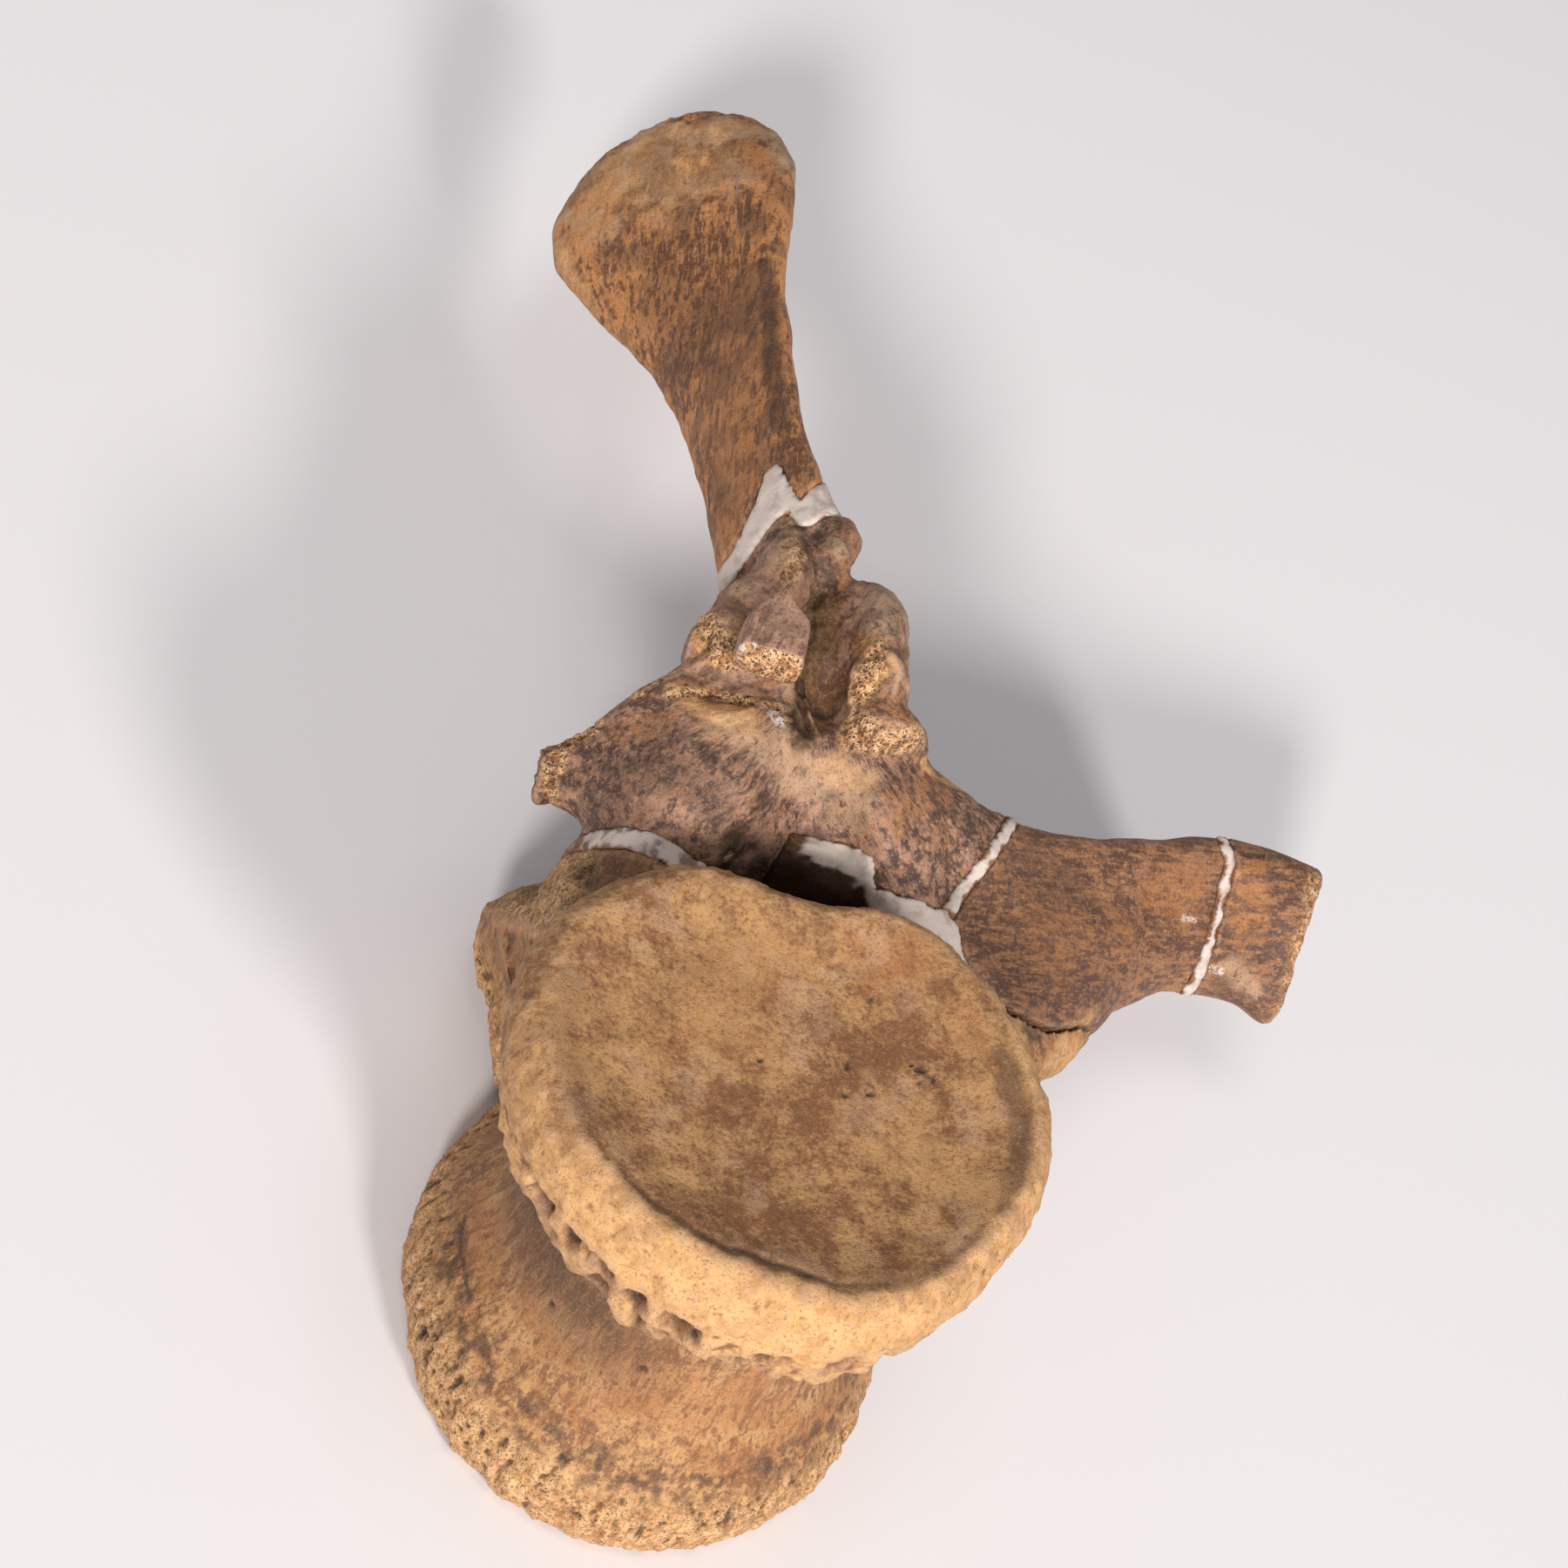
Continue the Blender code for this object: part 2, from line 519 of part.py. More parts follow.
def main():
    clear_scene()
    bone = whole_bone()
    cutters = [box_form("below the table", (-200, -200, -60), (300, 400, 0))]
    cutters += [fracture_form(name, *values) for name, values in FRACTURES.items()]
    canal = oval((*CANAL_CENTRE, -30), (CANAL_HALF[0], 0, 0),
    (0, CANAL_HALF[1], 0), sides=20, squareness=2.0)
    cutters += [loft("canal", [canal, [p + Vector((0, 2, 160)) for p in canal]])]
    cutters += [left_plate(grow=JOINT_GAP)]
    for cutter in cutters:
        cut(bone, cutter)
        bpy.data.objects.remove(cutter, do_unlink=True)

    fills, clearances = {}, []
    for name, (front, behind) in PLASTER_JOINTS.items():
        fills[name] = copy_of(bone, name)
        space = joint_form("joint space", front, behind)
        cut(fills[name], space, "INTERSECT")
        bpy.data.objects.remove(space, do_unlink=True)
        for clearance in clearances:
            cut(fills[name], clearance)
        clearances.append(joint_form("clearance", front, behind, grow=JOINT_GAP))
    clearances.append(joint_form("crack", *LAMINA_CRACK))
    for clearance in clearances:
        cut(bone, clearance)
        bpy.data.objects.remove(clearance, do_unlink=True)

    pieces = []
    bodies = split_fragments(bone)
    bpy.data.objects.remove(bone, do_unlink=True)
    for name, seed in FRAGMENT_SEEDS.items():
        nearest = min(bodies, key=lambda body: (middle_of(body) - Vector(seed) * MM).length)
        bodies.remove(nearest)
        pieces.append(object_from(name, nearest))
        finish(pieces[-1], name)
    for name, fill in fills.items():
        parts = split_fragments(fill)
        bpy.data.objects.remove(fill, do_unlink=True)
        pieces.append(object_from(name, parts[0]))
        finish(pieces[-1], "plaster")
    pieces.append(left_plate())
    finish(pieces[-1], "left_front_plate")
    stand_on_origin(pieces)


main()
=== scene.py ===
import bmesh
import bpy
import numpy as np
from mathutils import Matrix, Vector
from mathutils.bvhtree import BVHTree


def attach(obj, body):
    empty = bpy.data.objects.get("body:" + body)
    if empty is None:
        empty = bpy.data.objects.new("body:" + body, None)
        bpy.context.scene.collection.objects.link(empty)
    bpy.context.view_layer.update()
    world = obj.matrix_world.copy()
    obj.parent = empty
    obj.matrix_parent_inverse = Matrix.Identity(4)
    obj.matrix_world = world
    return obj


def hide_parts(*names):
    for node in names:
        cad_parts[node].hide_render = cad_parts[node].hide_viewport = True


bl_info = {
    "name": "Fossil dinosaur vertebra",
    "version": (1, 0, 0),
    "blender": (4, 5, 0),
    "location": "View3D > Sidebar > Vertebra",
    "description": "Dresses the packed vertebra in worn fossil bone and plaster",
    "category": "Object",
}

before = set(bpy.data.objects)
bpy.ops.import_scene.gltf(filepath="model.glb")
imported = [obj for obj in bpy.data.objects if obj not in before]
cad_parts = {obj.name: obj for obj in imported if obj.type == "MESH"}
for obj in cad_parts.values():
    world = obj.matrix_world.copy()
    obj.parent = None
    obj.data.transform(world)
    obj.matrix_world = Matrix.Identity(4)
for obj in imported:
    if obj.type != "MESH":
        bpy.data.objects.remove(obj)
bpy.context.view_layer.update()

MM = 0.001
# Middle of the centrum's rear face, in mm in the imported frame. All places below are in mm from here:
# +X towards the long process, +Y towards the top of the spine, +Z towards the front face.
REAR_CENTRE = np.array((-39.2, -130.54, 0.0))

# Vertices nearer together than this are one.
MERGE_DISTANCE = 0.01
# The skin looks for other pieces as far as SEAM_REACH. Nearer than SEAM_WIDTH it belongs to a joint and
# gives up the share SEAM_HOLD of its relief.
SEAM_REACH = 2.5
SEAM_WIDTH = 1.0
SEAM_HOLD = 0.8
# Rounds of smoothing that tell hollows from crests, and the depth at which a hollow is darkest. Hollows are
# darkened with dirt and painted shade, crests lightened as a painted highlight.
CAVITY_ROUNDS = 10
CAVITY_DEPTH = 0.35

# Edge of the front face: angle from +X in degrees and distance from the centrum's axis.
FACE_EDGE = (
    (-161, 50.6), (-140, 48.2), (-114, 47.5), (-92, 45.3), (-75, 47.2), (-57, 46.9), (-31, 45.8),
    (-14, 48.3), (7, 48.9), (31, 47.6), (47, 50.8), (66, 48.7), (82, 42.8), (91, 40.5), (101, 42),
    (121, 46.4), (134, 48.9), (162, 51.7), (179, 50.9),
)
# How worn and pale the band outside that edge is, by angle.
BAND_WEAR = (
    (-180, 0.12), (-166, 0.15), (-157, 0.35), (-146, 0.8), (-122, 0.9), (-105, 1.0), (-30, 1.0),
    (-12, 0.85), (60, 0.6), (80, 0.2), (180, 0.12),
)
# How far the wall under the front rim stands out past the plain curve of the waist, by height.
RIM_WALL = ((64, 0.0), (68, 1.6), (71, 5.2), (75, 5.2), (80, 2.4), (85, 0.4), (88, 0.0))
# Radius of the rims, along which their knobs and furrows are spaced.
RIM_RADIUS = 50
# The waist, where the grain of the centrum runs from face to face: its height, its radius and the radius
# along which the grain is spaced.
WAIST_HEIGHT = 45
WAIST_RADIUS = 40
WAIST_GRAIN_RADIUS = 45

# Marks on the bone, each a kind, a half width, a strength and the points it passes through.
CENTRUM_MARKS = (
    ("rust", 8, 0.8, ((16.5, 33, 96.5),)),
    ("rust", 5, 0.6, ((23.5, 38.5, 98.5), (10, 36.5, 97.5))),
    ("rust", 4, 0.5, ((33, 26, 98), (36, 19.5, 97.5))),
    ("rust", 9, 0.35, ((-19, 18.5, 95), (-5, 27, 96))),
    ("rust", 7, 0.3, ((-28.5, 5, 95), (-10.5, 7, 94.5))),
    ("dark", 3.0, 0.65, ((41.5, 17.5, 98.5), (45.5, 5, 98.5), (46, -5.5, 99), (42, -19, 99.5))),
    ("dark", 2.0, 0.45, ((-34.5, -33, 99.5), (-26, -39.5, 99.5), (-13.5, -43.5, 99), (-1, -44, 98.5),
                        (9, -43.5, 99), (23, -40, 99.5), (32.5, -33, 99.5), (38.5, -24.5, 99.5))),
    ("dark", 5, 0.3, ((-49, 8, 99), (-49, -8.5, 99.5), (-43, -24.5, 99.5))),
    ("worn", 3, 0.7, ((-50.5, 68.5, 20), (-47, 60, 14), (-44, 56, 10.5))),
    ("dark", 7, 0.6, ((-40, 52, 77), (-34, 51, 82.5))),
    ("dark", 0.9, 0.9, ((-46.2, -0.6, 24.4), (-46.1, -7.1, 22.9), (-44.4, -14.4, 23.2), (-42, -20, 23.5))),
    ("worn", 6, 0.6, ((72, 57, 51), (76, 62, 50))),
    ("dark", 2.0, 0.9, ((46, 40, 92), (56, 52, 70), (66, 58, 58))),
    ("rust", 9, 0.5, ((-30, -30, 50), (-10, -38, 45), (10, -38, 40))),
    # Painted shade with darker bone: a dark band high on the waist, under the front rim on the lower left.
    ("dark", 9, 0.4, ((-33, -22, 62), (-20, -35, 64), (0, -41, 62))),
)
# Pits in the bone, each a half width, a depth and a place.
CENTRUM_PITS = (
    (1.3, 1.0, (25.5, 12, 95.5)), (0.9, 0.9, (23.5, 12.5, 95)), (0.9, 0.9, (28, 10.5, 95.5)),
    (0.8, 0.8, (25.5, 9, 95)), (0.9, 0.8, (10.5, 8.5, 94.5)), (0.8, 0.7, (10, 1, 94.5)),
    (0.9, 0.8, (15.5, 3, 94.5)), (0.8, 0.6, (14, 25.5, 95.5)), (0.8, 0.7, (-8, 4, 94.5)),
    (3.2, 4.0, (-38.3, -38.8, 82.8)), (2.6, 3.2, (-32.6, -43.7, 85)), (3.0, 3.8, (-24.9, -48.5, 82.5)),
    (3.2, 4.0, (-17.9, -51.5, 83)), (2.6, 3.4, (-13.2, -52.9, 83.5)), (3.0, 3.6, (-3.5, -54.4, 78.2)),
    (2.6, 3.2, (1.3, -54.5, 75.9)), (2.4, 2.6, (-42.5, -33.5, 82)), (2.2, 2.4, (-46.5, -27, 81)),
    (1.4, 1.2, (-11, -40, 45)), (1.2, 1.1, (-30.5, -28.5, 42)), (1.3, 1.0, (36, -14, 47)),
    (1.2, 1.0, (-37, 12, 50)), (1.6, 1.6, (-52, -14.5, 5.5)), (1.6, 1.6, (-51, -18.5, 8.5)),
    (1.6, 1.5, (-49, -22.5, 10.5)), (1.4, 1.4, (-47, -27.5, 10)),
)
ARCH_MARKS = (
    ("spongy", 3.2, 1.0, ((-46.5, 88.5, 80.5), (-51.5, 85.5, 76.5), (-53, 78.5, 75),
                          (-52, 75.5, 72), (-51, 72, 68))),
    ("spongy", 2.2, 0.8, ((-40, 94, 87.5), (-34.5, 98, 92))),
    ("dark", 10, 0.6, ((-35.5, 74.5, 88.5), (-41.5, 71.5, 82))),
    # Painted shadow with dark dirt in and over the canal: the canal's roof and the arch's lower edge above
    # it.
    ("dark", 7, 1.0, ((-8, 62, 80), (-3.5, 66, 75), (6, 67, 72))),
    ("dark", 6.0, 1.0, ((-14, 62.5, 85), (-9, 66.5, 87), (-2.6, 70.5, 87), (3.5, 70, 87), (8, 68, 87))),
    ("white", 1.7, 1.0, ((-17, 61.5, 81), (-11.3, 63, 81.2), (-5, 66.3, 81.5))),
    ("dark", 3.4, 1.0, ((-25.8, 95, 103), (-24.8, 103.5, 105), (-22.2, 109, 106), (-16.5, 116, 108))),
    ("pale", 7, 0.8, ((-8, 84, 94), (2, 80, 91), (9, 79, 92))),
    ("pale", 5, 0.8, ((-22, 85, 96), (-14, 82, 94))),
    ("dark", 5, 0.5, ((-25.5, 70.5, 92), (-19.5, 66, 91.5))),
    ("rust", 4, 0.5, ((-41, 84.5, 85), (-34.5, 85, 91))),
    ("rust", 6, 0.7, ((-28.5, 91, 95.5), (-20, 85.5, 97))),
    ("worn", 4, 0.5, ((-30.5, 90.5, 95), (-23, 87.5, 96.5), (-17.5, 86.5, 97))),
    # The dark marks here are painted shadow with dark dirt on the overhang above the canal.
    ("dark", 5, 1.0, ((-10, 68.5, 91), (3, 75, 89.5))),
    ("dark", 4, 0.9, ((-4, 69, 88.5), (10.5, 72, 91.5))),
    ("worn", 3, 0.4, ((2, 85, 93), (10, 82.5, 93.5))),
    ("dark", 5, 0.5, ((-1, 73, 90), (7, 72, 90))),
    ("rust", 5, 0.5, ((18, 77.5, 94), (28.5, 91, 91))),
    ("rust", 5, 0.4, ((30, 78, 89.5),)),
    ("white", 1.6, 1.0, ((-12, 91, 97.5), (-10.5, 89.5, 97))),
    ("spongy", 2.2, 1.0, ((-34, 92, 94), (-22.5, 93.5, 94), (-9, 93, 97.5))),
    ("spongy", 4.5, 1.0, ((-30.5, 110, 97.5), (-27.5, 102.5, 101), (-24, 101, 100))),
    ("spongy", 2.4, 0.6, ((-13, 146, 98.5), (-12.5, 129.5, 105.5), (-13.5, 124.5, 104))),
    ("spongy", 3.4, 1.0, ((6, 109, 107), (5.5, 100.5, 102.5))),
    ("grey", 4.5, 0.6, ((5.5, 122, 107.5), (7, 115.5, 108))),
    ("spongy", 4.6, 1.0, ((6, 93, 98), (19, 93.5, 100))),
    ("dark", 3.4, 1.0, ((-6.1, 101.5, 96), (-7, 92.7, 97), (-4, 90, 96))),
    ("worn", 2.6, 0.8, ((9.7, 105.5, 108), (6.6, 103.4, 104.2), (3.5, 99, 101))),
    ("worn", 4.5, 0.9, ((-29, 104, 99), (-26, 100, 101))),
    ("worn", 3, 0.6, ((14, 116, 103), (15, 106, 104))),
    # Painted shadow: dark under the proud chip, along the groove below it.
    ("dark", 2.5, 0.9, ((-26, 96, 98), (-17, 97, 101), (-10, 97, 101))),
    ("ochre", 6, 1.0, ((-3.5, 126.5, 98), (-3, 110, 96), (-4, 91, 96.5))),
    ("grey", 4, 0.7, ((-3.5, 136.5, 105.5),)),
    ("dark", 2.5, 0.7, ((13.5, 105.5, 106), (14.5, 116, 103.5))),
    ("worn", 1.6, 0.8, ((24, 93, 93.5), (31.5, 94.5, 89.5), (42, 99, 84))),
)
ARCH_PITS = ((1.2, 1.0, (-38, 80, 85)), (1.1, 0.9, (-30, 79, 91)))
CHIP_MARKS = (
    ("white", 1.0, 0.9, ((-25, 95, 110), (-23.5, 94, 109.5))),
    ("white", 0.9, 0.9, ((-22, 94.5, 111.5),)),
    ("white", 0.9, 0.7, ((-23.5, 94, 106.5),)),
    ("spongy", 2.6, 1.0, ((-23.5, 92, 106), (-16.5, 91, 105.5), (-10, 89, 104.5))),
    ("pale", 3, 0.4, ((-15, 108, 112.5), (-17, 99, 113))),
)
PROCESS_MARKS = (
    ("white", 0.8, 0.9, ((105.7, 108.6, 52.2), (109.5, 110.3, 50.4))),
    ("white", 0.9, 0.9, ((111.5, 114, 50),)),
    ("dark", 7, 0.45, ((56.5, 90, 76.5), (66, 91.5, 72))),
    ("rust", 9, 0.6, ((95.5, 109, 60.5), (104.5, 112, 55.5))),
    ("rust", 8, 0.5, ((87, 91, 60),)),
    ("rust", 6, 0.5, ((62.5, 74, 71), (70, 71.5, 64))),
    ("rust", 5, 0.4, ((59.5, 78.5, 73.5), (72, 84, 66))),
    ("worn", 3, 0.4, ((81, 70.5, 53.5), (76, 64, 52))),
)
TIP_MARKS = (
    ("rust", 6, 0.8, ((121, 124.5, 57), (124, 115.5, 49))),
    ("dark", 1.0, 0.95, ((115.5, 127.5, 59.5), (119, 127, 58.5), (124.5, 129.5, 57.5))),
    ("white", 0.8, 0.9, ((121.6, 106.6, 40), (118.5, 105.9, 40.8))),
    ("spongy", 3, 0.7, ((139.5, 130, 54.5), (139.5, 118, 46), (139.5, 106.5, 32))),
    ("pale", 3, 0.6, ((123, 107.5, 41), (133, 107, 35))),
    ("dark", 4, 0.5, ((123, 105.5, 36.5),)),
)
SPINE_MARKS = (
    ("rust", 10, 0.55, ((-24, 240, 75), (-24, 200, 84), (-24, 165, 88))),
    ("rust", 5.5, 0.8, ((-22.5, 146, 83), (-23, 159, 86), (-23, 181, 87.5))),
    ("rust", 3, 0.6, ((-17, 199, 92.5), (-19, 233, 85.5))),
    ("dark", 2.6, 0.8, ((-20.5, 247, 84), (-18.5, 209.5, 90.5), (-16.5, 178.5, 95.5))),
    ("dark", 10, 0.35, ((-40, 249.5, 63.5), (-32.5, 226, 68))),
    ("rust", 4, 0.5, ((-26, 241, 77.5), (-24, 207, 84.5))),
    ("worn", 4, 0.6, ((-63.5, 280, 40.5), (-58, 268, 41), (-51.5, 258, 41))),
    ("dark", 4, 0.5, ((-54, 268.5, 52), (-41, 258.5, 64))),
    ("worn", 4, 0.6, ((-57.5, 301, 52.5), (-44, 305, 67), (-26.5, 302, 78.5))),
    ("worn", 16, 0.35, ((-55, 290, 52), (-35, 292, 68))),
    ("rust", 4, 0.6, ((-52, 290.5, 59.5), (-54.5, 285, 55.5))),
)
TOWARDS_FRONT_LEFT = np.array((-0.2323, -0.6492, 0.7242))
# Hollows (below 0) and rises (above 0) along that direction: a half width, a height and a path.
HOLLOWS = (
    (7.0, -8.0, ((-12, 65, 87), (-8, 68, 89), (-2.6, 71, 89), (3.5, 71, 89), (8, 69, 88))),
    (5.5, -3.5, ((-3, 118, 100), (0, 110, 97), (-1, 103, 94))),
    (2.4, -6.0, ((-6.0, 102, 96), (-6.5, 95, 97), (-5, 91, 96.5))),
    (2.4, -3.0, ((-28, 97, 97), (-17, 96, 100), (-9.5, 95, 99))),
    (1.8, -4.0, ((-25.8, 95, 103), (-24.8, 103.5, 105), (-22.2, 109, 106), (-16.5, 116, 108))),
    (3.5, 2.0, ((8, 94, 99), (18.5, 94.5, 100.5))),
)
# Broken faces planed flat: a middle, a radius and the way they face.
FACETS = (
    ((6.5, 103, 103), 7.5, (-0.5, -0.35, 0.79)),
    ((-30, 105, 97), 5.5, (-0.5, -0.5, 0.7)),
)
# Sharp edge across the stump of the left lamina, the ways down from it and out at its corner, and how far
# the edge stands out and the side below it sinks in.
STUMP_CREASE = ((-50.5, 84, 14), (-48, 72, 30), (-45, 52, 56), (-43, 45, 64))
STUMP_DOWN = np.array((0.277, -0.758, -0.59))
STUMP_CORNER_OUT = np.array((-0.855, 0.491, 0.166))
STUMP_EDGE_RISE = 2.2
STUMP_SIDE_DEPTH = 7.0
# Middle of the trough between the joints, and the radius along which the wrinkles round it are spaced.
TROUGH_MIDDLE = (-3, 103)
TROUGH_GRAIN_RADIUS = 32
# Lower edge of the fill over the canal, by distance across, below which the fill is painted dark with dirt
# and painted shadow, and the rough bone in the canal's corner.
CANAL_FILL_EDGE = ((3, 83.2), (9, 83.5), (14, 82.2), (19, 78.4), (22, 60.0))
CANAL_CORNER = (-4, 66)
# How near to the bone a fill is smeared brown, for the two thin lines and for the others.
THIN_LINE_SMEARS = {"plaster_process_outer": 0.85, "plaster_process_inner": 0.75}
FILL_SMEAR = 0.45
# Grain of the plates of bone: the way it runs and the way across it.
SPINE_GRAIN = ((-0.167, 0.963, -0.21), (0.75, 0.0, 0.66))
PROCESS_GRAIN = ((0.885, 0.40, -0.24), (-0.39, 0.915, 0.1))
CHIP_GRAIN = ((0.2, 0.97, 0.1), (0.97, -0.2, 0.1))
# dark holds stains and dirt and also painted shade; on the plaster, ochre holds dirt and painted shadow
# inside the canal.
MASKS = ("worn", "spongy", "dark", "rust", "ochre", "grey", "white", "pale", "yellow", "cavity", "fibre")
# Sockets of the node that mixes two colours.
MIX_FACTOR, MIX_BELOW, MIX_ABOVE, MIX_RESULT = 0, 6, 7, 2

FLOOR_RADIUS = 6.0
FLOOR_SIDES = 96
SKY_COLOUR = (0.95, 0.96, 1.0, 1.0)
# Round lights, each a name, the setting with its power, its distance in metres and its direction.
LIGHTS = (
    ("front left light", "front_left_light", 5.5, (-0.25, -0.855, 0.45)),
    ("front right light", "front_right_light", 5.5, (0.41, -0.79, 0.476)),
    ("top light", "top_light", 1.6, (-0.03, -0.08, 1.0)),
)
LIGHT_AIM = (0.0, 0.0, 0.05)
LIGHT_SIZE = 0.9
LIGHT_COLOUR = (1.0, 0.98, 0.95)
# The camera's place in mm, and the ways that its right, its top and its back face.
CAMERA_PLACE = (-168.2, -373.5, 595.0)
CAMERA_AXES = ((0.9324, 0.0632, 0.3557), (-0.2767, 0.7580, 0.5907), (-0.2323, -0.6492, 0.7242))
SENSOR_WIDTH = 36.0
NEAREST_SEEN = 0.05
FARTHEST_SEEN = 20.0


def number(name, description, default, **limits):
    """A number among the settings."""
    return bpy.props.FloatProperty(name=name, description=description, default=default, **limits)


def colour(name, description, default):
    """A colour among the settings."""
    return bpy.props.FloatVectorProperty(
        name=name, description=description, subtype="COLOR", size=3, min=0.0, max=1.0, default=default)


class BoneSettings(bpy.types.PropertyGroup):
    """Grain and relief of the worn bone."""

    skin_grain: number("Skin Grain", "Edge length of the surface mesh", 0.9 * MM, unit="LENGTH")
    relief: number("Relief", "Strength of the modelled roughness", 1.0, min=0.0)
    bump: number("Bump", "Strength of the fine roughness", 0.6, min=0.0, max=1.0)


class ColourSettings(bpy.types.PropertyGroup):
    """Colours of bone and plaster."""

    centrum: colour("Centrum", "Mineral brown of the centrum", (0.54, 0.29, 0.118))
    centrum_dark: colour("Centrum Dark", "Darker patches of the centrum", (0.235, 0.098, 0.038))
    arch: colour("Arch", "Purplish brown of the arch", (0.37, 0.195, 0.13))
    arch_dark: colour("Arch Dark", "Darker patches of the arch", (0.085, 0.042, 0.032))
    spine: colour("Spine", "Brown of the spine", (0.60, 0.25, 0.08))
    spine_dark: colour("Spine Dark", "Darker patches of the spine", (0.17, 0.06, 0.022))
    chip: colour("Chip", "Purplish brown of the glued chip", (0.54, 0.295, 0.205))
    chip_dark: colour("Chip Dark", "Darker patches of the glued chip", (0.23, 0.12, 0.088))
    process: colour("Process", "Brown of the side process", (0.29, 0.13, 0.06))
    process_dark: colour("Process Dark", "Darker patches of the side process", (0.11, 0.048, 0.03))
    worn: colour("Worn", "Pale rubbed bone", (0.76, 0.43, 0.185))
    worn_dark: colour("Worn Dark", "Browner patches of rubbed bone", (0.58, 0.30, 0.115))
    tan: colour("Tan", "Light streaks and specks", (0.54, 0.33, 0.20))
    spongy: colour("Spongy", "Broken spongy bone", (0.84, 0.52, 0.27))
    yellow: colour("Yellow", "Yellow mineral crust", (0.62, 0.37, 0.12))
    # Pore and umber colour dirt and stains, and also painted shade: under the front rim, in the canal,
    # below the stump's edge, under the chip and in hollows.
    pore: colour("Pore", "Dirt in pores and cracks", (0.045, 0.02, 0.008))
    umber: colour("Umber", "Dark stain", (0.065, 0.032, 0.02))
    rust: colour("Rust", "Orange stain", (0.40, 0.165, 0.055))
    ochre: colour("Ochre", "Olive dirt in the trough", (0.10, 0.052, 0.011))
    grey: colour("Grey", "Grey crust", (0.29, 0.205, 0.135))
    plaster: colour("Plaster", "Filling plaster", (0.66, 0.56, 0.50))


class StageSettings(bpy.types.PropertyGroup):
    """Floor, lights and camera."""

    floor_colour: colour("Floor", "Colour of the pale floor", (0.86, 0.83, 0.845))
    front_left_light: number(
        "Front Left Light", "Power of the low light at the front left", 212.0, unit="POWER")
    front_right_light: number(
        "Front Right Light", "Power of the low light at the front right", 170.0, unit="POWER")
    top_light: number("Top Light", "Power of the broad light overhead", 4.6, unit="POWER")
    ambient: number("Ambient", "Strength of the even light", 0.25)
    lens: number("Lens", "Focal length of the camera in millimetres", 76.0)


def hashed(cell, seed):
    """Scattered numbers between 0 and 1, always the same for the same whole-number cell and seed."""
    mixed = cell[..., 0] * 73856093 ^ cell[..., 1] * 19349663 ^ cell[..., 2] * 83492791
    mixed = mixed ^ (seed * 40503 + 977)
    mixed = (mixed ^ (mixed >> 13)) * 1274126177
    mixed = (mixed ^ (mixed >> 16)) * 668265263
    return ((mixed ^ (mixed >> 15)) & 0xFFFFFF) / 0xFFFFFF


def smooth_noise(points, seed):
    """Noise between -1 and 1 with one unit of length to a bump."""
    base = np.floor(points).astype(np.int64)
    part = points - base
    part = part * part * part * (part * (part * 6 - 15) + 10)
    total = np.zeros(len(points))
    for corner in np.ndindex(2, 2, 2):
        weight = np.prod(np.where(corner, part, 1 - part), axis=1)
        total += weight * hashed(base + corner, seed)
    return total * 2 - 1


def fractal(points, size, octaves, seed):
    """Noise in layers, the biggest bumps about size millimetres across."""
    total, amount = 0, 1.0
    for octave in range(octaves):
        total = total + amount * smooth_noise(points * (2 ** octave / size), seed + octave * 17)
        amount *= 0.5
    return total


def nearest_cell(points, size, seed):
    """Distance to the nearest of a scatter of points, in units of size, and that point's random number."""
    scaled = points / size
    base = np.floor(scaled).astype(np.int64)
    best, number = np.full(len(points), 9.0), np.zeros(len(points))
    for step in np.ndindex(3, 3, 3):
        cell = base + step - 1
        middle = cell + np.stack([hashed(cell, seed + axis) for axis in range(3)], axis=1)
        away = np.linalg.norm(scaled - middle, axis=1)
        nearer = away < best
        best = np.where(nearer, away, best)
        number = np.where(nearer, hashed(cell, seed + 7), number)
    return best, number


def ramp(value, start, end):
    """0 before start, 1 past end, smooth between."""
    part = np.clip((value - start) / (end - start), 0, 1)
    return part * part * (3 - 2 * part)


def hump(value, width):
    """1 at 0, falling smoothly to about a third at width on either side."""
    return np.exp(-(value / width) ** 2)


def offset_from_path(points, path):
    """The way to each point from the nearest place on a path, which may be a single point."""
    path = np.array(path, float)
    if len(path) == 1:
        return points - path[0]
    best = np.full(points.shape, 1e4)
    for a, b in zip(path, path[1:]):
        run = b - a
        along = np.clip((points - a) @ run / (run @ run), 0, 1)
        offset = points - a - along[:, None] * run
        nearer = (offset ** 2).sum(1) < (best ** 2).sum(1)
        best = np.where(nearer[:, None], offset, best)
    return best


def distance_to_path(points, path):
    """Distance from each point to a path."""
    return np.linalg.norm(offset_from_path(points, path), axis=1)


def rows(items, name, width, kind):
    """One measure of all items of a mesh, a row to each item."""
    values = np.zeros(len(items) * width, kind)
    items.foreach_get(name, values)
    return values.reshape(-1, width)


